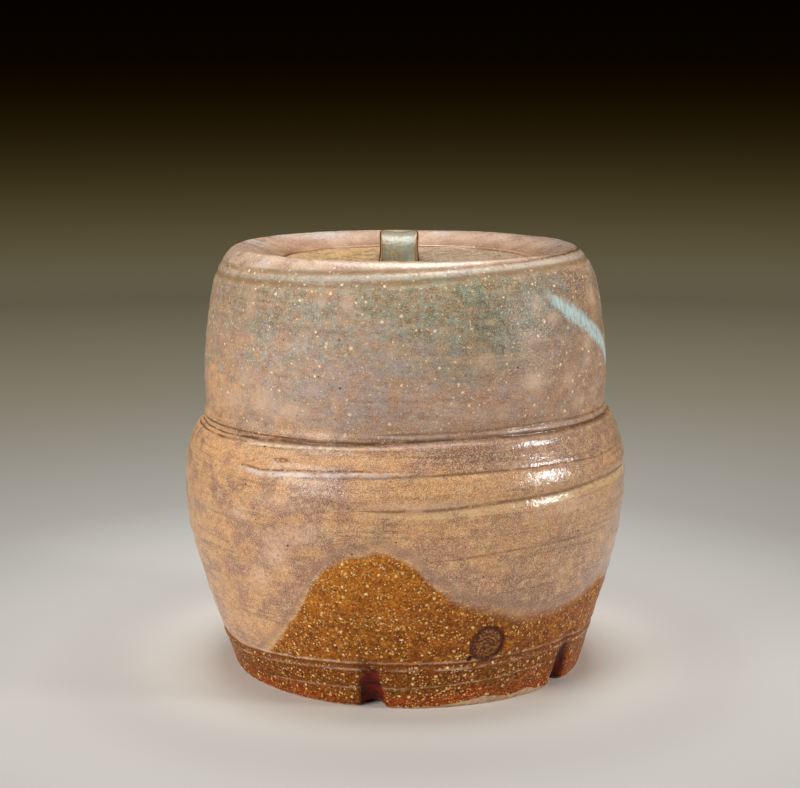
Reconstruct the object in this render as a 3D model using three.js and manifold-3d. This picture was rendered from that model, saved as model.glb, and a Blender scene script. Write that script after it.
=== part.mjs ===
// Fresh water jar (mizusashi) of thrown stoneware, with its own clay lid and strap knob.
// Millimetres, +Z up. The jar stands on z = 0 with its wheel axis on Z, and the front faces -Y.
// Angles go round the wheel axis in degrees: 0 faces -Y and they grow towards +X.
import * as THREE from 'three';
import { mergeVertices } from 'three/addons/utils/BufferGeometryUtils.js';
import Module from 'manifold-3d';

// Outside of the jar, from the foot up
const footRadius = 73.9;
const footEdge = 1.2;
const footRingWidth = 9;
const footRecessDepth = 5;
const bellyRadius = 92.5;
const bellyHeight = 78;
const neckRadius = 83.4;
const neckHeight = 111.5;
const shoulderRadius = 79;
const shoulderDrop = 12;
const crestRadius = 69;
const jarHeight = 175.1;

// How full each stretch of the outline is: how far its handles reach, as shares of the stretch
const lowerWallFullness = { flare: 0.45, fromFoot: 0.34, fromBelly: 0.3 };
const waistFullness = { fromBelly: 0.68, fromNeck: 0.28 };
const upperWallFullness = { fromNeck: 0.28, fromShoulder: 0.25 };
const shoulderFullness = 0.33;

// Small swells of the outline beside those stretches
const bellySwell = 0.6;
const neckSwell = 1.8;
const upperWallSwell = 3.4;
const shoulderTuck = 1.7;
const crestFlat = 4.5;

// Clay thickness
const wallThickness = 7.5;
const floorThickness = 9;
const cornerFill = 0.58;
const flatFloorShare = 0.68;

// Gallery that the lid sits in, and the clay under it
const galleryRadius = 52;
const ledgeWidth = 7;
const ledgeThickness = 5.5;
const lipDrop = 5.1;
const lipRound = 1;
const rimRollIn = 5;
const rimUnderReach = 13;
const rimUnderRise = 10;
const rimUnderDepth = 27;

// Lid
const lidThickness = 6;
const lidSideClearance = 0.8;
const lidSinksBelowLip = 0.7;
const lidDomeRise = 0.3;
const lidEdgeRound = 1.4;
const lidHollowDepth = 1;
const lidSeatWidth = 3;
const seatGap = 0.3;

// Strap knob
const strapWidth = 16;
const strapThickness = 3.8;
const strapSpan = 26;
const strapStandsProud = 11.6;
const strapOffset = -2.5;
const strapSpring = 1.5;
const strapRoot = 3;
const strapDish = 0.9;
const strapEdgeRound = 1.3;

// Cuts through the foot ring
const notchAngles = [-10.8, 55, 150, 245];
const notchWidth = 10;
const notchHeight = 15.4;
const notchSlope = 55;

// Blank oval recess of a pressed mark
const markAngle = 22.4;
const markHeight = 27.7;
const markWidth = 14.7;
const markTall = 16;
const markDepth = 0.9;

// Turned grooves: height, depth and half width
const footGroove = { height: 19.2, depth: 0.6, halfWidth: 0.9 };
const waistLowerGroove = { height: 107.2, depth: 1, halfWidth: 1 };
const waistUpperGroove = { height: 109.9, depth: 0.7, halfWidth: 0.9 };
const shoulderLowerGroove = { height: 167.2, depth: 0.7, halfWidth: 0.9 };
const shoulderUpperGroove = { height: 171.4, depth: 0.6, halfWidth: 0.8 };

// What the hand does to a thrown form: rings and wall rise to the right, the wall leans, the round is oval
const grooveTilt = 2.7;
const formTilt = 1.4;
const tiltFadeAtFoot = 16;
const tiltFadeAtCrest = 4;
const formFadeAtCrest = 60;
const wallLean = 1;
const outOfRound = 0.25;
const ovalTurn = 23;
const trueRimWidth = 4;
const lipToWall = 14;

// Mesh fineness
const aroundSteps = 64;
const wallSteps = 18;
const innerWallSteps = 7;
const curveSteps = 6;
const strapSteps = 22;
const ringSpacing = 1;
const crestStep = 0.5;
const overlap = 1;

const grooves = [footGroove, waistLowerGroove, waistUpperGroove, shoulderLowerGroove, shoulderUpperGroove];
const footInnerRadius = footRadius - footRingWidth;
const floorTop = footRecessDepth + floorThickness;
const lipHeight = jarHeight - lipDrop;
const lidEdgeTop = lipHeight - lidSinksBelowLip;
const lidSeat = lidEdgeTop - lidThickness;
const ledgeHeight = lidSeat - seatGap;
const mouthRadius = galleryRadius - ledgeWidth;
const lidRadius = galleryRadius - lidSideClearance;

const wasm = await Module();
wasm.setup();

function clamp01(value) {
  return Math.min(1, Math.max(0, value));
}

function radians(degrees) {
  return THREE.MathUtils.degToRad(degrees);
}

// Volume inside a closed mesh, negative when its faces look inwards.
function signedVolume(position, index) {
  const corner = [new THREE.Vector3(), new THREE.Vector3(), new THREE.Vector3()];
  let volume = 0;
  for (let i = 0; i < index.length; i += 3) {
    corner.forEach((point, k) => point.fromBufferAttribute(position, index[i + k]));
    volume += corner[0].dot(corner[1].cross(corner[2])) / 6;
  }
  return volume;
}

// Closed solid from a geometry: points joined, empty triangles left out, faces outwards.
function solidOf(geometry) {
  const bare = geometry.clone();
  bare.deleteAttribute('normal');
  bare.deleteAttribute('uv');
  const merged = mergeVertices(bare, 1e-4);
  const position = merged.getAttribute('position');
  const source = merged.getIndex().array;
  const index = [];
  for (let i = 0; i < source.length; i += 3) {
    const [a, b, c] = [source[i], source[i + 1], source[i + 2]];
    if (a !== b && b !== c && c !== a) index.push(a, b, c);
  }
  if (signedVolume(position, index) < 0) index.reverse();
  const mesh = new wasm.Mesh({
    numProp: 3,
    vertProperties: new Float32Array(position.array),
    triVerts: new Uint32Array(index),
  });
  return new wasm.Manifold(mesh);
}

function geometryOf(solid) {
  const mesh = solid.getMesh();
  const geometry = new THREE.BufferGeometry();
  geometry.setAttribute('position', new THREE.BufferAttribute(new Float32Array(mesh.vertProperties), 3));
  geometry.setIndex(new THREE.BufferAttribute(new Uint32Array(mesh.triVerts), 1));
  geometry.computeVertexNormals();
  return geometry;
}

// A profile in (radius, height) turned round the wheel axis.
function turned(profile) {
  const geometry = new THREE.LatheGeometry(profile, aroundSteps);
  geometry.rotateX(Math.PI / 2);
  return geometry;
}

// Outside of the wall from the foot edge to the crest of the rim, before the grooves.
function outerCurve() {
  const curve = new THREE.Path();
  const shoulderHeight = jarHeight - shoulderDrop;
  const lowerWall = bellyHeight - footEdge;
  const waist = neckHeight - bellyHeight;
  const upperWall = shoulderHeight - neckHeight;
  curve.moveTo(footRadius, footEdge);
  curve.bezierCurveTo(
    footRadius + (bellyRadius - footRadius) * lowerWallFullness.flare,
    footEdge + lowerWall * lowerWallFullness.fromFoot,
    bellyRadius,
    bellyHeight - lowerWall * lowerWallFullness.fromBelly,
    bellyRadius,
    bellyHeight,
  );
  curve.bezierCurveTo(
    bellyRadius + bellySwell,
    bellyHeight + waist * waistFullness.fromBelly,
    neckRadius + neckSwell,
    neckHeight - waist * waistFullness.fromNeck,
    neckRadius,
    neckHeight,
  );
  curve.bezierCurveTo(
    neckRadius + neckSwell,
    neckHeight + upperWall * upperWallFullness.fromNeck,
    shoulderRadius + upperWallSwell,
    shoulderHeight - upperWall * upperWallFullness.fromShoulder,
    shoulderRadius,
    shoulderHeight,
  );
  curve.bezierCurveTo(
    shoulderRadius - shoulderTuck,
    shoulderHeight + shoulderDrop * shoulderFullness,
    crestRadius + crestFlat,
    jarHeight,
    crestRadius,
    jarHeight,
  );
  return curve.getPoints(4 * curveSteps);
}

const outerPoints = outerCurve();

function outerRadiusAt(height) {
  const above = outerPoints.findIndex((point) => point.y >= height);
  if (above <= 0) return above === 0 ? outerPoints[0].x : crestRadius;
  const low = outerPoints[above - 1];
  const high = outerPoints[above];
  return THREE.MathUtils.lerp(low.x, high.x, (height - low.y) / (high.y - low.y));
}

function grooveDepthAt(height) {
  return Math.max(...grooves.map((groove) => (
    groove.depth * clamp01(1 - Math.abs(height - groove.height) / groove.halfWidth)
  )));
}

// Heights of the wall's rings: even steps, with three rings at each groove in place of those beside it.
function wallHeights() {
  const top = jarHeight - crestStep;
  const even = Array.from({ length: wallSteps + 1 }, (_, i) => (
    THREE.MathUtils.lerp(footEdge, top, i / wallSteps)
  ));
  const clear = even.filter((height) => grooves.every((groove) => (
    Math.abs(height - groove.height) > groove.halfWidth + ringSpacing
  )));
  const cut = grooves.flatMap(({ height, halfWidth }) => [height - halfWidth, height, height + halfWidth]);
  return [...clear, ...cut].sort((a, b) => a - b);
}

// Rim from the crest in to the lip, down to the ledge that carries the lid, and to its underside.
function rimPoints() {
  const rim = new THREE.Path();
  rim.moveTo(crestRadius, jarHeight);
  rim.bezierCurveTo(
    crestRadius - rimRollIn,
    jarHeight,
    galleryRadius + rimRollIn + lipRound,
    lipHeight + lipRound,
    galleryRadius + lipRound,
    lipHeight,
  );
  rim.quadraticCurveTo(galleryRadius, lipHeight, galleryRadius, lipHeight - lipRound);
  rim.lineTo(galleryRadius, ledgeHeight);
  rim.lineTo(mouthRadius + lipRound, ledgeHeight);
  rim.quadraticCurveTo(mouthRadius, ledgeHeight, mouthRadius, ledgeHeight - lipRound);
  rim.lineTo(mouthRadius, ledgeHeight - ledgeThickness);
  return rim.getPoints(curveSteps);
}

// Under the ledge out to the wall, at one wall thickness from the outside.
function rimUndersidePoints() {
  const start = ledgeHeight - ledgeThickness;
  const end = jarHeight - rimUnderDepth;
  const endRadius = outerRadiusAt(end) - wallThickness;
  const under = new THREE.CubicBezierCurve(
    new THREE.Vector2(mouthRadius, start),
    new THREE.Vector2(mouthRadius + rimUnderReach, start),
    new THREE.Vector2(endRadius - overlap, start + rimUnderRise),
    new THREE.Vector2(endRadius, end),
  );
  return under.getPoints(curveSteps).slice(1);
}

// Inside of the wall, which follows the outside down to the belly.
function innerWallPoints() {
  const from = jarHeight - rimUnderDepth;
  return Array.from({ length: innerWallSteps }, (_, i) => {
    const height = THREE.MathUtils.lerp(from, bellyHeight, (i + 1) / innerWallSteps);
    return new THREE.Vector2(outerRadiusAt(height) - wallThickness, height);
  });
}

// Rounded corner from the inner wall to the flat of the floor.
function bowlPoints() {
  const bowl = new THREE.CubicBezierCurve(
    new THREE.Vector2(bellyRadius - wallThickness, bellyHeight),
    new THREE.Vector2(bellyRadius - wallThickness, bellyHeight * cornerFill),
    new THREE.Vector2(footRadius, floorTop),
    new THREE.Vector2(footRadius * flatFloorShare, floorTop),
  );
  return [...bowl.getPoints(curveSteps).slice(1), new THREE.Vector2(0, floorTop)];
}

function footPoints() {
  return [
    new THREE.Vector2(0, footRecessDepth),
    new THREE.Vector2(footInnerRadius - footEdge, footRecessDepth),
    new THREE.Vector2(footInnerRadius, footRecessDepth - footEdge),
    new THREE.Vector2(footInnerRadius + footEdge, 0),
    new THREE.Vector2(footRadius - footEdge, 0),
  ];
}

function jarProfile() {
  const wall = wallHeights().map((height) => (
    new THREE.Vector2(outerRadiusAt(height) - grooveDepthAt(height), height)
  ));
  return [
    ...footPoints(),
    ...wall,
    ...rimPoints(),
    ...rimUndersidePoints(),
    ...innerWallPoints(),
    ...bowlPoints(),
  ];
}

// Sideways lean of the wall at a height: most at the foot, and none from the belly up.
function leanAt(height) {
  return wallLean * (1 + Math.cos(Math.PI * clamp01(height / bellyHeight))) / 2;
}

// Rise towards the right, from 1 to -1. It fades to none at the foot and, over a given height, at the crest.
function riseAt(height, angle, fadeAtCrest) {
  const fade = clamp01(height / tiltFadeAtFoot) * clamp01((jarHeight - height) / fadeAtCrest);
  return fade * Math.sin(angle);
}

// Radius of the tilted wall at a height and an angle, before it is made oval.
function tiltedRadiusAt(height, angle) {
  return outerRadiusAt(height - formTilt * riseAt(height, angle, formFadeAtCrest));
}

function ovalAt(angle) {
  return outOfRound * Math.cos(2 * (angle - radians(ovalTurn)));
}

// Radius of the tilted, oval wall at an angle and a height.
function wallRadiusAt(angle, height) {
  return tiltedRadiusAt(height, angle) + ovalAt(angle);
}

// Gives the turned jar the marks of the hand. The gallery stays round and level, so that the lid fits.
function handThrown(geometry) {
  const position = geometry.getAttribute('position');
  const deepestGroove = Math.max(...grooves.map((groove) => groove.depth));
  for (let i = 0; i < position.count; i += 1) {
    const [x, y, z] = [position.getX(i), position.getY(i), position.getZ(i)];
    const angle = Math.atan2(x, -y);
    let radius = Math.hypot(x, y);
    let height = z;
    const inset = outerRadiusAt(z) - radius;
    if (z >= footEdge && inset < deepestGroove + wallThickness / 100) {
      height = z + grooveTilt * riseAt(z, angle, tiltFadeAtCrest);
      radius = tiltedRadiusAt(height, angle) - inset;
    }
    const marked = THREE.MathUtils.smoothstep(
      radius,
      galleryRadius + trueRimWidth,
      galleryRadius + lipToWall,
    );
    radius += marked * ovalAt(angle);
    position.setXYZ(
      i,
      radius * Math.sin(angle) + marked * leanAt(height),
      -radius * Math.cos(angle),
      height,
    );
  }
  return geometry;
}

// Round-topped cutter for a notch. It slopes down inwards, so that it scoops the foot ring from the
// outside down to the face that stands, and leaves the inner part of the ring and the floor whole.
function notchCutter(angle) {
  const half = notchWidth / 2;
  const below = 2 * notchHeight;
  const outside = outerRadiusAt(notchHeight);
  const reachIn = (outside - footInnerRadius + notchHeight) / Math.cos(radians(notchSlope));
  const reachOut = footRingWidth;
  const arch = new THREE.Shape();
  arch.moveTo(-half, -below);
  arch.lineTo(half, -below);
  arch.lineTo(half, -half);
  arch.absarc(0, -half, half, 0, Math.PI);
  arch.closePath();
  const cutter = new THREE.ExtrudeGeometry(arch, {
    depth: reachIn + reachOut,
    bevelEnabled: false,
    curveSegments: curveSteps,
  });
  cutter.translate(0, 0, -reachIn);
  cutter.rotateX(radians(90 - notchSlope));
  cutter.translate(leanAt(0), -outside, notchHeight);
  cutter.rotateZ(radians(angle));
  return cutter;
}

// Oval plug that presses the blank mark into the wall, square to the surface.
function markCutter() {
  const reach = 3;
  const spread = 2;
  const angle = radians(markAngle);
  const radius = wallRadiusAt(angle, markHeight);
  const flare = wallRadiusAt(angle, markHeight + spread) - wallRadiusAt(angle, markHeight - spread);
  const slope = Math.atan(flare / (2 * spread));
  const plug = new THREE.CylinderGeometry(1, 0.92, reach + markDepth, 28);
  plug.scale(markWidth / 2, 1, markTall / 2);
  plug.translate(0, (reach - markDepth) / 2, 0);
  plug.rotateX(Math.PI + slope);
  plug.translate(0, -radius, markHeight);
  plug.rotateZ(angle);
  plug.translate(leanAt(markHeight), 0, 0);
  return plug;
}

function makeJar() {
  let clay = solidOf(handThrown(turned(jarProfile())));
  for (const angle of notchAngles) clay = clay.subtract(solidOf(notchCutter(angle)));
  return geometryOf(clay.subtract(solidOf(markCutter())));
}

function lidTopAt(radius) {
  const share = radius / (lidRadius - lidEdgeRound);
  return lidEdgeTop + lidDomeRise * (1 - share * share);
}

// Points of the lid's top from its rounded edge to the middle, raised by an amount.
function domePoints(raised) {
  const last = lidRadius - lidEdgeRound;
  return Array.from({ length: curveSteps + 1 }, (_, i) => {
    const radius = last * (1 - i / curveSteps);
    return new THREE.Vector2(radius, lidTopAt(radius) + raised);
  });
}

// Lid: a seat ring over the ledge, a shallow hollow within it, a rounded edge and a top that hardly rises.
function makeLid() {
  const hollowRadius = mouthRadius - lidSeatWidth;
  const under = [
    new THREE.Vector2(0, lidSeat + lidHollowDepth),
    new THREE.Vector2(hollowRadius - 2 * lidHollowDepth, lidSeat + lidHollowDepth),
    new THREE.Vector2(hollowRadius, lidSeat),
    new THREE.Vector2(lidRadius - lidHollowDepth, lidSeat),
    new THREE.Vector2(lidRadius, lidSeat + lidHollowDepth),
    new THREE.Vector2(lidRadius, lidEdgeTop - lidEdgeRound),
    new THREE.Vector2(lidRadius - lidEdgeRound * 0.3, lidEdgeTop - lidEdgeRound * 0.3),
  ];
  return geometryOf(solidOf(turned([...under, ...domePoints(0)])));
}

// Section of the strap: flat inside, dished outside between raised edges.
function strapSection() {
  const half = strapWidth / 2;
  const inner = -strapThickness / 2;
  const outer = strapThickness / 2;
  const section = new THREE.Shape();
  section.moveTo(-half + strapEdgeRound, inner);
  section.lineTo(half - strapEdgeRound, inner);
  section.quadraticCurveTo(half, inner, half, inner + strapEdgeRound);
  section.lineTo(half, outer - strapEdgeRound);
  section.quadraticCurveTo(half, outer, half - strapEdgeRound, outer);
  section.quadraticCurveTo(0, outer - 2 * strapDish, -half + strapEdgeRound, outer);
  section.quadraticCurveTo(-half, outer, -half, outer - strapEdgeRound);
  section.lineTo(-half, inner + strapEdgeRound);
  section.quadraticCurveTo(-half, inner, -half + strapEdgeRound, inner);
  return section;
}

// The strap springs from the lid at the front, arches over the finger gap and lands at the back.
// It is cut off at the seat gap above the lid's top.
function makeLidKnob() {
  const halfSpan = (strapSpan - strapThickness) / 2;
  const start = lidEdgeTop - strapRoot;
  const top = lidTopAt(0) + strapStandsProud - strapThickness / 2;
  const handle = (4 * top - start) / 3;
  const arch = new THREE.CubicBezierCurve3(
    new THREE.Vector3(strapOffset, -halfSpan, start),
    new THREE.Vector3(strapOffset, -halfSpan - strapSpring, handle),
    new THREE.Vector3(strapOffset, halfSpan + strapSpring, handle),
    new THREE.Vector3(strapOffset, halfSpan, start),
  );
  const strap = new THREE.ExtrudeGeometry(strapSection(), {
    steps: strapSteps,
    extrudePath: arch,
    curveSegments: curveSteps - 1,
  });
  const cutBottom = start - strapThickness;
  const lidCutter = turned([
    new THREE.Vector2(0, cutBottom),
    new THREE.Vector2(lidRadius - lidEdgeRound, cutBottom),
    ...domePoints(seatGap),
  ]);
  return geometryOf(solidOf(strap).subtract(solidOf(lidCutter)));
}

function piece(name, geometry, look) {
  const mesh = new THREE.Mesh(geometry, new THREE.MeshStandardMaterial({ metalness: 0, ...look }));
  mesh.name = name;
  return mesh;
}

const group = new THREE.Group();
group.name = 'fresh_water_jar';
group.add(piece('jar', makeJar(), { color: 0x9c8a74, roughness: 0.35 }));
group.add(piece('lid', makeLid(), { color: 0xb08a5c, roughness: 0.5 }));
group.add(piece('lid_knob', makeLidKnob(), { color: 0x8a8e80, roughness: 0.35 }));

export default group;
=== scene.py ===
# %% [markdown]
# A fresh water jar for the tea room, in three pieces: a thick stoneware jar with a waist and an
# inturned rim, a lid of the same clay that sinks into the rim, and a strap knob on the lid.
# The imported solids hold the sizes. Here each one gets a fine surface with the marks of the hand, and
# a glaze built from nodes. This first cell loads the solids and keeps their box, so that the pushed
# clay can be kept inside it at the sides.

# %% Load the frame
import bpy
import bmesh
from bisect import bisect_left
from math import atan2, cos, degrees, exp, hypot, pi, radians, sin, sqrt
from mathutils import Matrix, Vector, noise
from mathutils.geometry import interpolate_bezier


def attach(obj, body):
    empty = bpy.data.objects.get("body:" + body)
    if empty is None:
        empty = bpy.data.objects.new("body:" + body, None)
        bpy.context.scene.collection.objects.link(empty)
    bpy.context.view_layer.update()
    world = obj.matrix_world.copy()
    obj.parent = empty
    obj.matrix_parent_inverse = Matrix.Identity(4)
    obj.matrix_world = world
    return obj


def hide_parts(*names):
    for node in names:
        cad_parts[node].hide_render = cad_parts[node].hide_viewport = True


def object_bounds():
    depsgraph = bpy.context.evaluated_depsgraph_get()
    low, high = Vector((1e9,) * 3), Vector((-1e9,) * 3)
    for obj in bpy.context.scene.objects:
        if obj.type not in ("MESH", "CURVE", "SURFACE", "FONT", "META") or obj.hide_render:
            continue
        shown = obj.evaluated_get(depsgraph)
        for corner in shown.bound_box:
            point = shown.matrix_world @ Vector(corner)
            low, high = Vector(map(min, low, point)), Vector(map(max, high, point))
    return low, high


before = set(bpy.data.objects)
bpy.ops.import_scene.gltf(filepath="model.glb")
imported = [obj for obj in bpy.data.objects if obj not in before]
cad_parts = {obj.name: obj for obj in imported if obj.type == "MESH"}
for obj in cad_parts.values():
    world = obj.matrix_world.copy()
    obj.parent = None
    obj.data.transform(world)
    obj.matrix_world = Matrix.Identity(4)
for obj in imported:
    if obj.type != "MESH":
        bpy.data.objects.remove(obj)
cad_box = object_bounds()
scene = bpy.context.scene

# %% [markdown]
# The photograph looks slightly down on the jar through a long lens, so the ellipse of the rim is
# narrow and the sides stay almost parallel. A lens of 82 mm at three quarters of a metre gives the
# same ellipse and the same size in the frame.

# %% Camera
camera_data = bpy.data.cameras.new("camera")
camera_data.sensor_width = 36.0
camera_data.lens = 82.2
camera_data.shift_x = -0.00635
camera = bpy.data.objects.new("camera", camera_data)
camera.location = (0.0, -0.7556, 0.2464)
camera.rotation_euler = (radians(90 - 10.08), 0, 0)
scene.collection.objects.link(camera)
scene.camera = camera
scene.view_settings.view_transform = "Standard"

# %% [markdown]
# A potter thinks of a pot as one line turned on the wheel. The line of this jar is four Bezier
# curves: foot to belly, belly to waist, waist to shoulder, shoulder to the crest of the rim. Each
# curve is two points and two handles, in millimetres of radius and height, and they repeat the
# solid's own line. Work goes on in millimetres, and the finished mesh is scaled to metres.

# %% The line of the wall
METRES = 0.001
CREST_HEIGHT = 175.1
WALL_THICKNESS = 7.5
WALL_CURVES = [
    ((73.9, 1.2), (82.27, 27.3), (92.5, 55.0), (92.5, 78.0)),
    ((92.5, 78.0), (93.1, 100.8), (85.2, 102.1), (83.4, 111.5)),
    ((83.4, 111.5), (85.2, 126.0), (82.4, 150.2), (79.0, 163.1)),
    ((79.0, 163.1), (77.3, 167.1), (73.5, 175.1), (69.0, 175.1)),
]


def bezier(start, leave, arrive, end, count=400):
    corners = [Vector((*corner, 0)) for corner in (start, leave, arrive, end)]
    return [(point.x, point.y) for point in interpolate_bezier(*corners, count)]


wall_line = [point for curve in WALL_CURVES for point in bezier(*curve)[:-1]] + [WALL_CURVES[-1][-1]]
wall_heights = [height for radius, height in wall_line]


def wall_radius(height):
    above = min(max(bisect_left(wall_heights, height), 1), len(wall_line) - 1)
    (r0, h0), (r1, h1) = wall_line[above - 1], wall_line[above]
    share = min(1, max(0, (height - h0) / max(h1 - h0, 1e-6)))
    return r0 + (r1 - r0) * share


print("wall line:", len(wall_line), "points, belly radius", round(max(r for r, h in wall_line), 2), "mm")

# %% [markdown]
# The rest of the line goes round the clay: over the crest, down into the lip and the ledge that
# carries the lid, under the rim, down the inside, across the floor, and back along the recess and
# the ring of the foot. A mesh needs small steps only where something small happens, so the wall gets
# rings 0.65 mm apart at the waist, the shoulder and the foot, and wider ones on the smooth parts.

# %% The closed profile of the jar
FLOOR_TOP = 14.0
RIM_UNDERSIDE = 148.1
FINE_STEP = 0.65


def spaced(line, gap):
    """Keeps points of a dense line that lie at least a gap apart, and both of its ends."""
    kept = [line[0]]
    for point in line[1:-1]:
        if hypot(point[0] - kept[-1][0], point[1] - kept[-1][1]) >= gap(point[1]):
            kept.append(point)
    return kept + [line[-1]]


def straight(start, end, gap):
    """Points from the start up to the end, with the end left out."""
    steps = max(1, round(hypot(end[0] - start[0], end[1] - start[1]) / gap))
    return [tuple(a + (b - a) * i / steps for a, b in zip(start, end)) for i in range(steps)]


def wall_gap(height):
    for top, gap in ((17, 0.8), (36, 1.1), (97, 1.4), (113, FINE_STEP), (160, 1.5)):
        if height < top:
            return gap
    return FINE_STEP


inner_end = wall_radius(RIM_UNDERSIDE) - WALL_THICKNESS
foot_ring = (
    straight((0, 5), (63.7, 5), 9)
    + [(63.7, 5), (64.9, 3.8), (65.5, 1.9)]
    + straight((66.1, 0), (72.7, 0), 0.9)
    + [(72.7, 0), (73.4, 0.4)]
)
rim = spaced(bezier((69, 175.1), (64, 175.1), (58, 171.0), (53, 170.0)), lambda height: 0.9)
lip = [(52.6, 169.9), (52.25, 169.65), (52.05, 169.3)] + straight((52, 168.9), (52, 163.2), 1.2)
ledge = [(52, 163.2), (51.8, 163)] + straight((51, 163), (46, 163), 1.2)
ledge += [(46, 163), (45.3, 162.7), (45, 162)] + straight((45, 160.8), (45, 157.5), 1.6)
under_rim = spaced(
    bezier((45, 157.5), (58, 157.5), (inner_end - 1, 167.5), (inner_end, RIM_UNDERSIDE)),
    lambda height: 3,
)
inside = [(wall_radius(h) - WALL_THICKNESS, h) for h in range(144, 80, -4)]
bowl = spaced(bezier((85, 78), (85, 45.2), (73.9, FLOOR_TOP), (50.3, FLOOR_TOP)), lambda height: 4)
jar_profile = foot_ring + spaced(wall_line, wall_gap) + rim[1:] + lip + ledge
jar_profile += under_rim + inside + bowl
jar_profile += straight((44, FLOOR_TOP), (0, FLOOR_TOP), 9) + [(0, FLOOR_TOP)]
print("jar profile:", len(jar_profile), "points")

# %% [markdown]
# Spin is the wheel: it turns the profile right round the axis. Its first and last rings are the same
# place, so use_merge joins them, and the two ends on the axis close up once doubles are merged.

# %% Throw the jar
AROUND = 320


def thrown(profile, around):
    clay = bmesh.new()
    points = [clay.verts.new((radius, 0, height)) for radius, height in profile]
    edges = [clay.edges.new(pair) for pair in zip(points, points[1:])]
    bmesh.ops.spin(
        clay, geom=points + edges, cent=(0, 0, 0), axis=(0, 0, 1), dvec=(0, 0, 0),
        angle=2 * pi, steps=around, use_merge=True,
    )
    bmesh.ops.remove_doubles(clay, verts=clay.verts, dist=0.001)
    bmesh.ops.recalc_face_normals(clay, faces=clay.faces)
    return clay


jar_clay = thrown(jar_profile, AROUND)
print("jar as thrown:", len(jar_clay.verts), "points")

# %% [markdown]
# The lines that a finger or a rib left on the wheel are never level and seldom go all the way round.
# Each is a short table of angle and height, read off like a stitch line: the angle is 0 at the front
# and grows to the right. Depth is how far the clay goes in, so a raised bead has a depth below zero.
# The last two numbers are where the line starts and ends, and None means that it goes right round.

# %% Thrown lines
LINES = {
    # name: (table, depth, half width, start, end)
    "waist_low": (
        [(-180, 104.2), (-120, 103.9), (-78, 104.6), (-58.3, 104.6), (-41.9, 105.6),
         (-33.1, 106.3), (-22.3, 106.8), (-9.4, 107.5), (-1.5, 108.4), (10.4, 109.2),
         (23.3, 109.3), (44.8, 108.6), (72, 108.4), (120, 106.6), (150, 105), (180, 104.2)],
        0.95, 1.0, None, None),
    "waist_left": (
        [(-180, 106.4), (-120, 105.9), (-80, 106.2), (-56.4, 106.9), (-26.2, 107.7), (0.5, 108.8)],
        0.7, 0.8, -150, -20),
    "waist_high": (
        [(-19.3, 110.2), (-1.5, 111.3), (20.4, 111.8), (40.4, 112), (73, 111), (110, 109.6),
         (150, 108)],
        0.6, 0.9, -12, 140),
    "waist_bead": (
        [(-180, 101.6), (-59, 102.2), (-42.1, 103.4), (-33.2, 104.1), (-16.3, 105), (0.5, 105.9),
         (20.2, 106.7), (44.6, 106.3), (72, 106.1), (120, 104.2), (180, 101.6)],
        -0.5, 1.2, -64, 120),
    "waist_third": (
        [(-110, 102.4), (-78, 102.9), (-58.3, 103.1), (-41.9, 104.1), (-33, 104.9)],
        0.45, 0.6, -110, -34),
    "belly_bead": (
        [(-70, 94.1), (-45.2, 94.8), (-37.4, 94.1), (-26.4, 95.6), (-13.5, 96.8), (-1.5, 97.1),
         (20.3, 97.6), (41.1, 97.6), (59.8, 96.4)],
        -0.5, 0.8, -58, 12),
    "belly_line": (
        [(-59, 92.8), (-29.5, 94.3), (0.5, 96.6), (20.3, 97.2), (41.2, 97.3), (60.1, 95.6)],
        0.35, 0.8, -26, 60),
    "ring_high": (
        [(-19.5, 83.4), (3.4, 83.8), (12.4, 84.5), (22.4, 85.6), (40.5, 86.4), (56.6, 87.5),
         (90, 87)],
        0.4, 0.9, -14, 80),
    "ring_low": (
        [(0.4, 63.7), (10.4, 64.2), (18.4, 65.4), (28.4, 66.4), (40.6, 66.7), (70, 65.7)],
        0.3, 0.8, 2, 62),
    "foot_line": (
        [(-180, 16.4), (-120, 16.2), (-70, 16.1), (-60.7, 15.4), (-44.2, 16.8), (-33.1, 17.8),
         (-23.1, 18.5), (-14.1, 18.9), (-0.1, 19.4), (19, 19.4), (28, 19.8), (48.3, 20.2),
         (73, 18.6), (120, 17.4), (180, 16.4)],
        0.75, 0.75, None, None),
    "foot_bead": (
        [(-180, 14.4), (-120, 14), (-70, 13.6), (-61.5, 13.1), (-44.6, 14.7), (-33.3, 15.9),
         (-23.2, 16.7), (-0.1, 17.5), (19, 17.6), (28.1, 18.1), (48.4, 18.6), (73, 16.8),
         (120, 15.5), (180, 14.4)],
        -0.4, 1.0, None, None),
    "foot_ring": (
        [(-61.5, 5.5), (-30.4, 7.2), (-5.2, 8.3), (9.9, 9.3), (25.2, 10.6), (40.7, 11.9),
         (51.2, 12.6)],
        0.4, 0.6, -50, 49),
    "shoulder_low": (
        [(-180, 165.2), (-120, 164.4), (-70, 164.5), (-45.8, 165.2), (-30.7, 165.8), (-1.5, 167.5),
         (10.6, 168.4), (22.7, 169.4), (35.7, 170.1), (46.6, 170.6), (58.6, 170.6), (100, 170),
         (150, 167), (180, 165.2)],
        0.34, 1.3, None, None),
    "shoulder_high": (
        [(-180, 170), (-120, 168.9), (-59.1, 169), (-32.4, 170.1), (-1.4, 171.7), (19.5, 172.5),
         (28.4, 173), (40.3, 173.6), (54.2, 174.1), (72, 174.2), (120, 173), (180, 170)],
        0.28, 1.1, None, None),
}
print("thrown lines:", len(LINES))

# %% [markdown]
# A table is read once into heights at every whole degree, since thousands of points will ask for
# them. A line that stops fades out over some degrees, as it does where the finger is lifted.

# %% Reading a table
LINE_TAPER = 14


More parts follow.
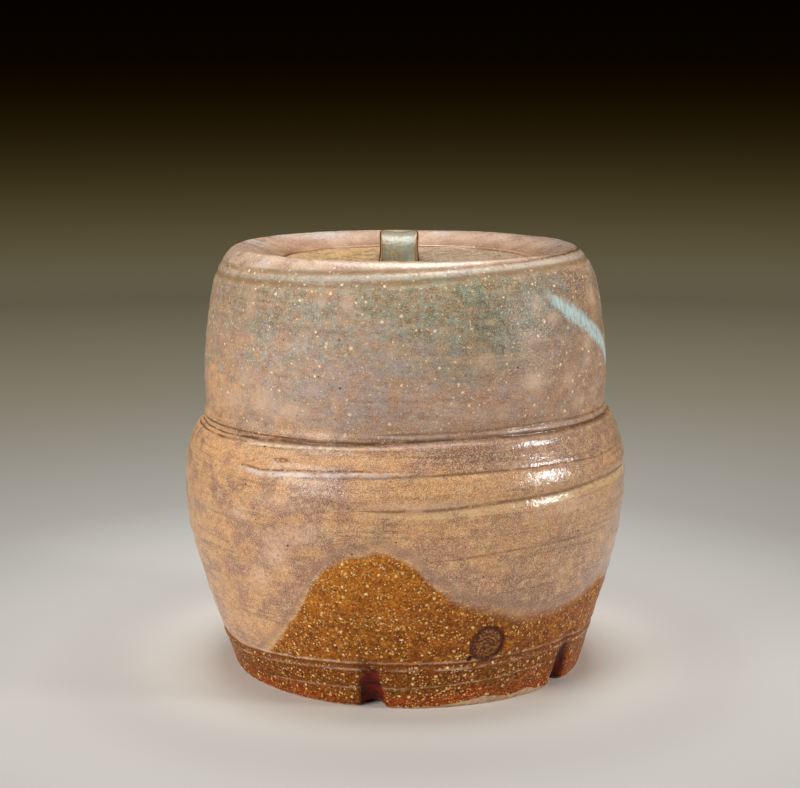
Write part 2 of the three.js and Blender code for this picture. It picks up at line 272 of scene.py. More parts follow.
def levels(table):
    """Heights of a line at every whole degree, straight between the table's points."""
    heights = []
    for angle in range(-180, 182):
        reached = [i for i, (turn, height) in enumerate(table) if turn <= angle]
        here = reached[-1] if reached else 0
        (a0, h0), (a1, h1) = table[here], table[min(here + 1, len(table) - 1)]
        share = 0 if a1 == a0 else min(1, max(0, (angle - a0) / (a1 - a0)))
        heights.append(h0 + (h1 - h0) * share)
    return heights


def along(heights, angle):
    """Height of a line at any angle in degrees."""
    step = int(angle + 180)
    share = angle + 180 - step
    return heights[step] * (1 - share) + heights[step + 1] * share


def smooth(value, low, high):
    share = min(1, max(0, (value - low) / (high - low)))
    return share * share * (3 - 2 * share)


def line_presence(start, end, angle):
    if start is None:
        return 1
    return smooth(angle, start, start + LINE_TAPER) * (1 - smooth(angle, end - LINE_TAPER, end))


LINES = {name: (levels(table), *rest) for name, (table, *rest) in LINES.items()}
print("waist at the front:", round(along(LINES["waist_low"][0], 0), 1), "mm up")

# %% [markdown]
# Four scoops are cut in the foot ring with a loop of wire. Each goes in steeply from the wall to the
# face that stands, with a round top. Moving the points that fall inside the cut along its slope
# gives softer edges than a Boolean would, and the fired foot has soft edges because glaze ran in.

# %% Scoops in the foot
SCOOP_ANGLES = [-10.8, 55, 150, -115]
SCOOP_TOP = 15.0
SCOOP_SLOPE = radians(55)
SCOOP_HALF_WIDTH = 4.8
SCOOP_SOFTNESS = 3.2
SCOOP_WALL = wall_radius(SCOOP_TOP)


def apart(angle, centre):
    """Degrees from one angle to another, the short way round."""
    return (angle - centre + 180) % 360 - 180


def scoop_push(radius, angle, height):
    """How far a point moves up the slope of the nearest scoop, in millimetres."""
    push = 0
    for centre in SCOOP_ANGLES:
        turn = radians(apart(angle, centre))
        side = radius * sin(turn)
        if abs(side) > 3 * SCOOP_HALF_WIDTH or cos(turn) < 0:
            continue
        inward = SCOOP_WALL - radius * cos(turn)
        below = (SCOOP_TOP - height) * cos(SCOOP_SLOPE) - inward * sin(SCOOP_SLOPE)
        arch = SCOOP_HALF_WIDTH
        if abs(side) < SCOOP_HALF_WIDTH:
            arch -= sqrt(SCOOP_HALF_WIDTH ** 2 - side ** 2)
        else:
            arch += 4 * (abs(side) - SCOOP_HALF_WIDTH)
        depth = below - arch
        push = max(push, 0.5 * (depth + sqrt(depth ** 2 + SCOOP_SOFTNESS ** 2)) - 0.06)
    return push


print("push in the middle of a scoop:", round(scoop_push(73, SCOOP_ANGLES[0], 0), 1), "mm")

# %% [markdown]
# A potter's mark is pressed low on the wall. Its place stays, but it is left without any sign. A pit
# lies beside it. Both are so small that the mesh gets a finer grid there, and beside the scoops.

# %% Mark, pit and a finer grid
MARK = {"angle": 22.8, "height": 27.4, "half_wide": 7.2, "half_tall": 7.5}
PIT = {"angle": 18.0, "height": 21.4, "radius": 1.3}
LOW_WALL = 40


def mark_distance(radius, angle, height):
    """1 on the oval edge of the mark, 0 at its middle."""
    wide = radius * radians(angle - MARK["angle"]) / MARK["half_wide"]
    return hypot(wide, (height - MARK["height"]) / MARK["half_tall"])


def pit_distance(radius, angle, height):
    return hypot(radius * radians(angle - PIT["angle"]), height - PIT["height"]) / PIT["radius"]


def polar(point):
    """Radius, angle in degrees from the front, and height."""
    return hypot(point.x, point.y), degrees(atan2(point.x, -point.y)), point.z


def near_detail(vert):
    radius, angle, height = polar(vert.co)
    if height > LOW_WALL or radius < 64.8:
        return False
    near_scoop = any(abs(apart(angle, centre)) < 7.5 for centre in SCOOP_ANGLES)
    return (near_scoop and height < 18) or (15.5 < angle < 29 and 19 < height < 37.3)


fine = [edge for edge in jar_clay.edges if all(near_detail(vert) for vert in edge.verts)]
bmesh.ops.subdivide_edges(jar_clay, edges=fine, cuts=1, use_grid_fill=True)
print("jar with finer patches:", len(jar_clay.verts), "points")

# %% [markdown]
# Now the marks of the hand, as heights over the smooth wall. Finger rings are noise that changes
# quickly with height and slowly round the pot, and soft lumps lie over them. The pressed oval is
# deepest at its edge, where the stamp cut in, with a low burr of pushed clay outside.

# %% Marks of the hand
ALLOWANCE = 0.12


def wall_mark(angle, height, place):
    """Millimetres outwards: rings and lumps, less the thrown lines."""
    ring_strength = 0.18 + 0.3 * (1 - smooth(height, 98, 112)) * smooth(height, 16, 40)
    around = Vector((1.1 * sin(radians(angle)), 1.1 * cos(radians(angle)), height * 0.21))
    fine_rings = Vector((2.3 * sin(radians(angle)), 2.3 * cos(radians(angle)), height * 0.62))
    out = ring_strength * noise.noise(around) + 0.4 * ring_strength * noise.noise(fine_rings)
    out += 0.3 * noise.noise(place / 24) + 0.09 * noise.noise(place / 5.5)
    for table, depth, half_width, start, end in LINES.values():
        away = (height - along(table, angle)) / half_width
        if abs(away) < 3:
            ragged = 1 + 0.5 * noise.noise(place / 6)
            out -= depth * exp(-away * away) * line_presence(start, end, angle) * ragged
    return out - ALLOWANCE


def mark_relief(distance, place):
    """The pressed oval: a sunk edge, a hammered floor and a low burr outside."""
    if distance > 1.5:
        return 0
    floor = (1 - smooth(distance, 0.86, 1.04)) * 0.62
    edge = exp(-((distance - 0.88) / 0.09) ** 2) * 0.4
    burr = exp(-((distance - 1.14) / 0.08) ** 2) * 0.22
    hammered = 0.22 * noise.noise(place / 1.6) * (1 - smooth(distance, 0.6, 0.9))
    return burr - floor - edge + hammered


print("middle of the mark:", round(mark_relief(0, Vector()), 2), "mm")

# %% [markdown]
# The wall is pushed point by point. Tilt, oval and lean are the solid's own and go sideways. Every
# mark goes along the surface's own direction, so that it works on the wall and on the rolled rim
# alike. A small allowance and the solid's box keep the highest lump inside the solid.

# %% Push the clay
BELLY_HEIGHT = 78.0
LOWEST, HIGHEST = [Vector(corner) / METRES for corner in cad_box]


def lean(height):
    """Sideways lean: most at the foot, none from the belly up."""
    return 0.5 * (1 + cos(pi * min(1, max(0, height / BELLY_HEIGHT))))


jar_clay.normal_update()
scoops = {}
for vert in jar_clay.verts:
    radius, turn, height = polar(vert.co)
    if radius < 50:
        continue
    angle = radians(turn)
    rise = smooth(height, 0, 16) * min(1, max(0, (CREST_HEIGHT - height) / 60)) * sin(angle)
    free = smooth(radius, 56, 66)
    outside = radius > wall_radius(height) - 1 and height > 0.3
    place = vert.co.copy()
    sideways = wall_radius(height - 1.4 * rise) - wall_radius(height) if outside else 0
    sideways += free * 0.25 * cos(2 * (angle - radians(23)))
    move = Vector((sin(angle), -cos(angle), 0)) * sideways + Vector((free * lean(height), 0, 0))
    if outside:
        on_wall = wall_mark(turn, height, place) * smooth(height, 0.3, 3)
        if height < LOW_WALL:
            on_wall += mark_relief(mark_distance(radius, turn, height), place)
            on_wall -= 1.3 * exp(-pit_distance(radius, turn, height) ** 2)
        move += vert.normal * on_wall
    elif height > 150:
        move += vert.normal * free * (0.25 * noise.noise(place / 20) - 0.2)
    if height < 24 and radius > 60:
        push = scoop_push(radius, turn, height)
        scoops[vert.index] = push
        slope = Vector((-sin(angle), cos(angle), 0)) * sin(SCOOP_SLOPE)
        move += (slope + Vector((0, 0, cos(SCOOP_SLOPE)))) * push
    vert.co += move
    for axis in (0, 1):
        vert.co[axis] = min(HIGHEST[axis], max(LOWEST[axis], vert.co[axis]))
print("deepest scoop:", round(max(scoops.values()), 1), "mm")

# %% [markdown]
# The glaze line is a hill, because the glaze was poured and left this place bare. The splash and the
# wiped edge of the foot are tables of the same kind. Blooms are soft pale spots, and the few on the left
# of the belly are painted highlight, where the soft sheen of the left lamp lies. Warmth is where the
# iron in the clay comes through the glaze.

# %% Where the glaze ends, splashes, blooms and painted sheen
HILL = [
    (-180, 30), (-150, 34), (-120, 27.3), (-95, 11.4), (-70, 5.3), (-53.1, 9.7), (-43.9, 18.8),
    (-36.6, 27.2), (-30.6, 37.9), (-26.7, 45.1), (-23.5, 53.2), (-20, 59.9), (-16, 64),
    (-11.5, 66.9), (-6.1, 68.6), (-1.9, 66.7), (2.2, 62.7), (5.7, 56.5), (9.3, 51.4), (13.3, 47.8),
    (19.3, 44.6), (25.3, 41.5), (33.2, 38.5), (41.3, 37.8), (49.6, 38.9), (58.2, 41.8), (66, 44.4),
    (80, 41.6), (105, 32.9), (140, 25), (180, 30),
]
SPLASH = [
    (39.1, 164.2), (46, 158.7), (50, 155.2), (54.7, 151.8), (60, 148.2), (65, 144), (72.7, 138.6),
    (80, 131), (88, 124), (96, 119),
]
BARE_EDGE = [
    (-180, 0.7), (-70, 0.3), (-44.8, 0.7), (-20.4, 0.5), (7.9, 0.6), (13.9, 1.4), (19.9, 2.8),
    (26, 3.4), (33, 2), (40.1, 2.8), (47.1, 1.3), (54.9, 0.3), (90, 0.3), (130, 1.9), (150, 0.6),
    (180, 0.7),
]
BLOOMS_AND_SHEEN = [
    # angle, height, half wide, half tall, strength
    (35.5, 128.9, 5, 3.6, 1.2), (49.6, 127.3, 4, 3.4, 0.9), (20.5, 138.5, 3.6, 3.6, 0.8),
    (-3.5, 142.6, 3, 2.6, 0.8), (60.1, 140.5, 4.6, 3.4, 1), (68, 157.8, 5, 4, 0.8),
    (44.9, 152.2, 3.6, 2.6, 0.8), (38.8, 157.8, 3, 2.6, 0.7), (54.7, 117.7, 5, 2.4, 0.7),
    (-15.6, 159.5, 3.4, 4, 0.7), (-31.2, 118.7, 8, 2.6, 1), (-41, 121.1, 6, 4.5, 1),
    (-53.6, 119.6, 9, 4, 0.9), (-48, 129.5, 4, 4, 0.7), (-48.4, 157.3, 3, 6, 0.6),
    (-27.5, 147.5, 3, 2.4, 0.5), (34.7, 143.4, 5, 3, 0.5), (20.4, 118.6, 7, 2, 0.4),
    # the spots near -32 degrees, from 60 to 85 mm up, are painted highlight: the sheen of the left lamp
    (4.4, 84.8, 22, 2.4, 0.5), (42.5, 80.4, 16, 3, 0.5), (-33.2, 62.9, 5, 5, 0.8),
    (-39.3, 52.8, 5, 4, 0.7), (-32, 84, 9, 3.4, 0.4), (-31, 70, 10, 4, 0.4),
    (-24.4, 72.8, 8, 3, 0.5), (-44.1, 76.8, 6, 3, 0.6),
]
WARMTH = [
    # angle, height, half wide, half tall, strength
    (-60.1, 118.6, 40, 13, 1), (-34.2, 117.7, 14, 6, 0.5), (-58.8, 96.6, 28, 9, 0.6),
    (-27.4, 100.7, 30, 5, 0.6), (-66, 56, 34, 26, 0.7), (-44.3, 30.8, 24, 16, 0.5),
    (20.4, 80.7, 55, 18, 0.8), (59.1, 65.9, 40, 18, 0.6), (-27.3, 62.9, 24, 14, -0.7),
    (-15.5, 84.8, 26, 7, -0.8), (30, 104.8, 60, 5, -0.8), (24.4, 50.6, 28, 10, -0.7),
    (-7.5, 122.7, 30, 12, -0.6), (63.5, 39.6, 24, 14, -0.6), (68, 159.8, 26, 10, 0.7),
    (60.7, 122.1, 30, 8, 0.2),
]
HILL, SPLASH, BARE_EDGE = levels(HILL), levels(SPLASH), levels(BARE_EDGE)
print("blooms:", len(BLOOMS_AND_SHEEN), "warm and cool spots:", len(WARMTH))

# %% [markdown]
# The glaze has to know where the lines are, or it couldn't pool in them. Each line is therefore
# written onto the mesh as an attribute: the distance from each point to the line, in millimetres.
# A distance changes evenly over the surface, so the shader can cut a much finer edge out of it than
# the mesh has points.

# %% Distances for the glaze
SPOT_RADIUS = 85
FAR = 9


def spots(table, turn, height):
    """Adds soft oval spots, each with its own size and strength."""
    total = 0
    for centre, up, wide, tall, strength in table:
        aside = SPOT_RADIUS * radians(apart(turn, centre))
        away = (aside / wide) ** 2 + ((height - up) / tall) ** 2
        if away < 8:
            total += strength * exp(-away)
    return total


def measured(vert):
    """Everything that the jar's glaze wants to know about one point."""
    radius, turn, height = polar(vert.co)
    facts = {}
    for name, (table, depth, half_width, start, end) in LINES.items():
        presence = max(line_presence(start, end, turn), 0.01)
        facts[name] = (height - along(table, turn)) / presence
    for name, table in (("hill", HILL), ("splash", SPLASH), ("bare_edge", BARE_EDGE)):
        facts[name] = height - along(table, turn)
    facts["mark"] = mark_distance(radius, turn, height) if height < LOW_WALL else FAR
    facts["pit"] = pit_distance(radius, turn, height) if height < LOW_WALL else FAR
    facts["bloom_and_sheen"] = spots(BLOOMS_AND_SHEEN, turn, height)
    facts["warmth"] = spots(WARMTH, turn, height)
    facts["scoop"] = scoops.get(vert.index, 0)
    facts["rim"] = 1 - smooth(radius, 72, 77) if height > 160 else 0
    facts["inner_rim"] = 1 - smooth(radius, 68, 70.5) if height > 160 else 0
    return facts


facts = [measured(vert) for vert in jar_clay.verts]
print("attributes on the jar:", len(facts[0]))

# %% [markdown]
# Every piece leaves the workshop in the same way: scaled from millimetres to metres, smoothed, named,
# and with its distances written on. Its place is in its mesh, so the object itself stays at the
# origin, and a pattern that reads the object's coordinates stays where it belongs.

# %% Finished mesh of a piece
def finished(name, clay, attributes=()):
    """Scales a piece to metres, smooths it, names it and writes its attributes."""
    bmesh.ops.scale(clay, vec=(METRES,) * 3, verts=clay.verts)
    for face in clay.faces:
        face.smooth = True
    mesh = bpy.data.meshes.new(name)
    clay.to_mesh(mesh)
    clay.free()
    for key in (attributes[0] if attributes else ()):
        layer = mesh.attributes.new(key, "FLOAT", "POINT")
        layer.data.foreach_set("value", [fact[key] for fact in attributes])
    mesh.calc_loop_triangles()
    print(name, "triangles:", len(mesh.loop_triangles))
    piece = bpy.data.objects.new(name, mesh)
    scene.collection.objects.link(piece)
    return piece


jar_body = finished("jar_body", jar_clay, facts)

# %% [markdown]
# The lid is thrown too: a disc, almost flat, with a rounded edge and a seat ring under it. Its top is
# bumpy, because the glaze there is thick and full of grains. The underside stays true, since that
# is what rests on the ledge.

# %% Lid
LID_RADIUS = 51.2
LID_SEAT = 163.3
LID_EDGE_TOP = 169.3
DOME_RADIUS = 49.8
DOME_RISE = 0.3


def lid_top(share):
    """A point of the top, by its share of the way out from the middle."""
    return DOME_RADIUS * share, LID_EDGE_TOP + DOME_RISE * (1 - share ** 2)


lid_edge = [(51.2, 167.9), (51.1, 168.45), (50.8, 168.9), (50.4, 169.2)]
lid_dome = [lid_top(1 - i / 48) for i in range(49)]
lid_under = straight((0, 164.3), (40, 164.3), 8) + [(40, 164.3), (42, LID_SEAT), (50.2, LID_SEAT)]
lid_profile = lid_under + straight((LID_RADIUS, 164.3), (LID_RADIUS, 167.9), 1.2) + lid_edge + lid_dome
lid_clay = thrown(lid_profile, 256)
lid_clay.normal_update()
for vert in lid_clay.verts:
    if vert.co.z > LID_EDGE_TOP - 1.5:
        radius = hypot(vert.co.x, vert.co.y)
        grains = 0.16 * noise.noise(vert.co / 2.4) + 0.3 * noise.noise(vert.co / 11)
        wheel = 0.14 * sin(radius * 1.1 + atan2(vert.co.y, vert.co.x))
        vert.co += vert.normal * (grains + wheel - 0.3) * smooth(52 - radius, 0.6, 3)
lid_disc = finished("lid_disc", lid_clay)

# %% [markdown]
# The knob is a strap of clay, pulled by hand, bent over and pressed onto the lid at both ends. Its
# section is flat inside and dished outside between raised edges. It is built as the strap is bent:
# a ring of points is extruded from one station to the next along the arch. The ends sink into the
# lid and spread a little, as they do where a thumb has pressed them down.

# %% Strap section and path
STRAP = {"half_wide": 8.0, "half_thick": 1.9, "dish": 0.9, "corner": 1.3, "aside": -2.5}
ARCH = [Vector((STRAP["aside"], y, z)) for y, z in (
    (-11.1, 166.3), (-12.6, 183.63), (12.6, 183.63), (11.1, 166.3))]
STATIONS = 84


def strap_section():
    """Closed ring of (across, out) points, starting at the middle of the inside."""
    half, thick, corner = STRAP["half_wide"], STRAP["half_thick"], STRAP["corner"]
    flat = half - corner
    ring = straight((0, -thick), (flat, -thick), 0.8)
    for centre_out, first in ((-thick + corner, -90), (thick - corner, 0)):
        for step in range(6):
            turn = radians(first + 90 * step / 5)
            ring.append((flat + corner * cos(turn), centre_out + corner * sin(turn)))
    steps = 12
    for step in range(1, steps + 1):
        across = flat * (1 - step / steps)
        ring.append((across, thick - STRAP["dish"] * (1 - (across / flat) ** 2)))
    other_half = [(-across, out) for across, out in reversed(ring[1:-1])]
    return ring + other_half


def arch_at(share):
    """Point and outward direction of the arch, in the plane that runs front to back."""
    start, leave, arrive, end = ARCH
    rest = 1 - share
    point = rest ** 3 * start + 3 * share * rest ** 2 * leave + 3 * share ** 2 * rest * arrive
    point += share ** 3 * end
    ahead = rest ** 2 * (leave - start) + 2 * share * rest * (arrive - leave)
    ahead = (ahead + share ** 2 * (end - arrive)).normalized()
    return point, Vector((0, -ahead.z, ahead.y))


section = strap_section()
print("strap section:", len(section), "points")

# %% [markdown]
# Bending is one extrusion after another. Each time the ring's edges are drawn out, their new points
# lie on the old ones, and each is moved on to the same place of the section at the next station.

# %% Bend the strap
def strap_point(across, out, share):
    """A point of the strap, with its spread ends, wavering edges and one curled corner."""
    point, outward = arch_at(share)
    end = 1 - smooth(min(share, 1 - share), 0, 0.16)
    arch = sin(pi * share)
    wide = 0.975 + 0.025 * smooth(arch, 0.5, 1) + 0.1 * end
    waver = 0.1 * noise.noise(Vector((across / 4, share * 9, out)))
    curl = 0.35 * smooth(across, 6, 8) * exp(-((share - 0.36) / 0.07) ** 2)
    lift = waver + curl - 0.12 - 0.25 * smooth(arch, 0.985, 1) * smooth(abs(across), 5, 8)
    return point + Vector((across * wide + waver, 0, 0)) + outward * (out * (1 + 0.3 * end) + lift)


def key(point):
    return tuple(round(value, 4) for value in point)


strap_clay = bmesh.new()
ring = [strap_clay.verts.new(strap_point(across, out, 0)) for across, out in section]
edges = [strap_clay.edges.new((a, b)) for a, b in zip(ring, ring[1:] + ring[:1])]
for station in range(1, STATIONS + 1):
    grown = bmesh.ops.extrude_edge_only(strap_clay, edges=edges)["geom"]
    edges = [item for item in grown if isinstance(item, bmesh.types.BMEdge)]
    new_points = [item for item in grown if isinstance(item, bmesh.types.BMVert)]
    before = {key(strap_point(*spot, (station - 1) / STATIONS)): spot for spot in section}
    for vert in new_points:
        vert.co = strap_point(*before[key(vert.co)], station / STATIONS)
bmesh.ops.holes_fill(strap_clay, edges=strap_clay.edges, sides=len(section))
bmesh.ops.recalc_face_normals(strap_clay, faces=strap_clay.faces)
lid_strap = finished("lid_strap", strap_clay)

# %% [markdown]
# A material is a chain of nodes, and long chains are hard to read. Here every wire between nodes is a
# small object that can be added, multiplied and painted over, and each such step makes the node for
# it. A mask is white where something shows: rise and fall make one from any value, and two masks
# multiplied show only where both do. Colours are red, green and blue light from 0 to 1.

# %% A workbench for nodes
def add_node(tree, kind, inputs, **settings):
    """Adds a node, sets it, and joins wires or writes numbers into its inputs."""
    node = tree.nodes.new(kind)
    for name, value in settings.items():
        setattr(node, name, value)
    for key, value in inputs.items():
        if isinstance(value, Wire):
            tree.links.new(value.socket, node.inputs[key])
        else:
            node.inputs[key].default_value = value
    return node


class Wire:
    def __init__(self, socket):
        self.socket = socket

    def through(self, kind, inputs, output=0, **settings):
        return Wire(add_node(self.socket.id_data, kind, inputs, **settings).outputs[output])

    def calc(self, operation, a, b, limit=False):
        return self.through("ShaderNodeMath", {0: a, 1: b}, operation=operation, use_clamp=limit)

    def vector(self, operation, other):
        return self.through("ShaderNodeVectorMath", {0: self, 1: other}, operation=operation)

    def __add__(self, other):
        return self.calc("ADD", self, other)

    def __sub__(self, other):
        return self.calc("SUBTRACT", self, other)

    def __rsub__(self, other):
        return self.calc("SUBTRACT", other, self)

    def __mul__(self, other):
        return self.calc("MULTIPLY", self, other)

    def __truediv__(self, other):
        return self.calc("DIVIDE", self, other)

    def __pow__(self, other):
        return self.calc("POWER", self, other)

    def __abs__(self):
        return self.calc("ABSOLUTE", self, 0.0)

    def either(self, other):
        """White where one mask or the other is."""
        return self.calc("MAXIMUM", self, other)

    def lifted(self, other):
        """A sum that stays between 0 and 1."""
        return self.calc("ADD", self, other, limit=True)

    def rise(self, low, high, start=0.0, end=1.0):
        """Goes softly from start to end while the value goes from low to high."""
        inputs = {"Value": self, "From Min": low, "From Max": high, "To Min": start, "To Max": end}
        return self.through("ShaderNodeMapRange", inputs, interpolation_type="SMOOTHSTEP")

    def fall(self, low, high):
        return self.rise(low, high, 1.0, 0.0)

    def paint(self, tone, mask):
        """Lays a tone over this colour where the mask is white."""
        return mix(self, tone, mask)


def shade(tone):
    """A tone may be a wire, a name from the table of tones, or one number for a grey."""
    if isinstance(tone, Wire):
        return tone
    return (*TONES[tone], 1) if isinstance(tone, str) else (tone, tone, tone, 1)


def mix(under, over, mask):
    """Lays one tone over another. The names that end in _stain only darken what they lie on."""
    blend = "MULTIPLY" if isinstance(over, str) and over.endswith("_stain") else "MIX"
    inputs = {0: mask, 6: shade(under), 7: shade(over)}
    return mask.through("ShaderNodeMix", inputs, 2, data_type="RGBA", blend_type=blend)


def coats(colour, *layers):
    """Lays one tone after another over a colour, each through its own mask."""
    for tone, mask in layers:
        colour = colour.paint(tone, mask)
    return colour


# %% [markdown]
# An effect that several glazes need is a node group, built once. Its sockets are named, so each
# glaze can place it with its own numbers, as a potter takes the same ash for different pots.

# %% Making and placing an effect
NUMBER, VECTOR = "NodeSocketFloat", "NodeSocketVector"


def effect(name, inputs, outputs, build):
    """Makes a node group with named sockets, and fills it with the build function."""
    tree = bpy.data.node_groups.new(name, "ShaderNodeTree")
    for label, value in inputs.items():
        kind = VECTOR if value is None else NUMBER
        socket = tree.interface.new_socket(label, in_out="INPUT", socket_type=kind)
        if value is not None:
            socket.default_value = value
    for label, kind in outputs.items():
        tree.interface.new_socket(label, in_out="OUTPUT", socket_type=kind)
    given = {socket.name: Wire(socket) for socket in add_node(tree, "NodeGroupInput", {}).outputs}
    add_node(tree, "NodeGroupOutput", build(given))
    return tree


def use(group, **inputs):
    """Places an effect beside the wires that go into it, and hands back the first thing it makes."""
    inputs = {label.replace("_", " "): value for label, value in inputs.items()}
    wire = next(value for value in inputs.values() if isinstance(value, Wire))
    return wire.through("ShaderNodeGroup", inputs, node_tree=group)


# %% [markdown]
# Clouds are soft patches; made very wide and very low they become the streaks of the wheel. Grit is
# single grains, such as feldspar that bursts through as pale dots, or pits of iron. A noise and a
# cell pattern make them, because both stay even in scale all round the pot.

# %% Clouds and grit
def build_clouds(given):
    place = given["Place"]
    width, height = given["Width"], given["Height"]
    size = place.through("ShaderNodeCombineXYZ", {0: width, 1: width, 2: height})
    moved = place.vector("DIVIDE", size).vector("ADD", given["Seed"])
    noise_inputs = {"Vector": moved, "Scale": 1.0, "Detail": 3.0, "Roughness": given["Fray"]}
    cloud = place.through("ShaderNodeTexNoise", noise_inputs, "Fac")
    return {"Mask": cloud.rise(given["Centre"] - given["Edge"], given["Centre"] + given["Edge"])}


def build_grit(given):
    moved = given["Place"].vector("DIVIDE", given["Spacing"]).vector("ADD", given["Seed"])
    tree = moved.socket.id_data
    cell = add_node(tree, "ShaderNodeTexVoronoi", {"Vector": moved, "Scale": 1.0}).outputs
    luck = add_node(tree, "ShaderNodeSeparateColor", {"Color": Wire(cell["Color"])}).outputs
    ragged = moved.through("ShaderNodeTexNoise", {"Vector": moved, "Scale": 2.6, "Detail": 2.0}, "Fac")
    away = Wire(cell["Distance"]) * ragged.rise(0.25, 0.75, 0.6, 1.5) * given["Spacing"]
    radius = given["Radius"] * Wire(luck[1]).rise(0.0, 1.0, 0.45, 1.0)
    chosen = moved.calc("LESS_THAN", Wire(luck[0]), given["Chance"])
    return {"Mask": (away / radius).fall(given["Softness"], 1.0) * chosen}


clouds = effect(
    "clouds",
    {"Place": None, "Width": 20, "Height": 20, "Seed": 0, "Centre": 0.5, "Edge": 0.15, "Fray": 0.6},
    {"Mask": NUMBER}, build_clouds,
)
grit = effect(
    "grit", {"Place": None, "Spacing": 4, "Radius": 0.5, "Chance": 0.5, "Softness": 0.5, "Seed": 0},
    {"Mask": NUMBER}, build_grit,
)

# %% [markdown]
# A seam is a soft line at a distance that the mesh supplies. A skin is the fine unevenness of glass
# that has run and bubbled, as a height for the bump. The place on the pot is the fifth group: it
# gives millimetres, the height, the side and the angle from the front, which every glaze starts from.

# %% Seam, skin and place on the pot
PEEL, SAND, HOLES = 0.09, 0.07, 0.08


def build_seam(given):
    away = abs(given["Distance"] - given["Offset"])
    return {"Mask": away.fall(given["Half width"], given["Half width"] + given["Softness"])}


def build_skin(given):
    place = given["Place"]
    peel = use(clouds, Place=place, Width=2.2, Height=1.9, Seed=3.0, Edge=0.3) * (given["Run"] * PEEL)
    sand = use(clouds, Place=place, Width=0.55, Height=0.5, Seed=8.0, Edge=0.3) * (given["Grain"] * SAND)
    holes = use(grit, Place=place, Spacing=2.6, Radius=0.3, Chance=0.25, Seed=5.0) * HOLES
    return {"Height": peel + sand - holes}


def build_place(given):
    here = given["Object"]
    place = here.through("ShaderNodeVectorMath", {0: here, "Scale": 1 / METRES}, operation="SCALE")
    x, y, z = (Wire(socket) for socket in add_node(
        here.socket.id_data, "ShaderNodeSeparateXYZ", {0: place}).outputs)
    return {"Place": place, "Angle": x.calc("ARCTAN2", x, y * -1.0) * degrees(1), "Height": z, "Side": x}


seam = effect(
    "seam", {"Distance": 0, "Offset": 0, "Half width": 0.4, "Softness": 0.5},
    {"Mask": NUMBER}, build_seam,
)
skin = effect("skin", {"Place": None, "Run": 1, "Grain": 1}, {"Height": NUMBER}, build_skin)
place_on_pot = effect(
    "place on the pot", {"Object": None},
    {"Place": VECTOR, "Angle": NUMBER, "Height": NUMBER, "Side": NUMBER}, build_place,
)
print("effects:", len(bpy.data.node_groups))

# %% [markdown]
# The jar's own glaze is a thin pale coat over an iron clay. Where it is thick it turns grey green,
# where it is thin the clay warms it to ochre, and between the two it is a dusty rose. These are the
# tones of the whole set. Most are named for what makes them, but a few are partly painted light: the
# russet at the waist, the slope of the rim and the left and right stains are painted shade, and the
# pool and low bloom tones are partly painted highlight. The stains only darken what they lie on.

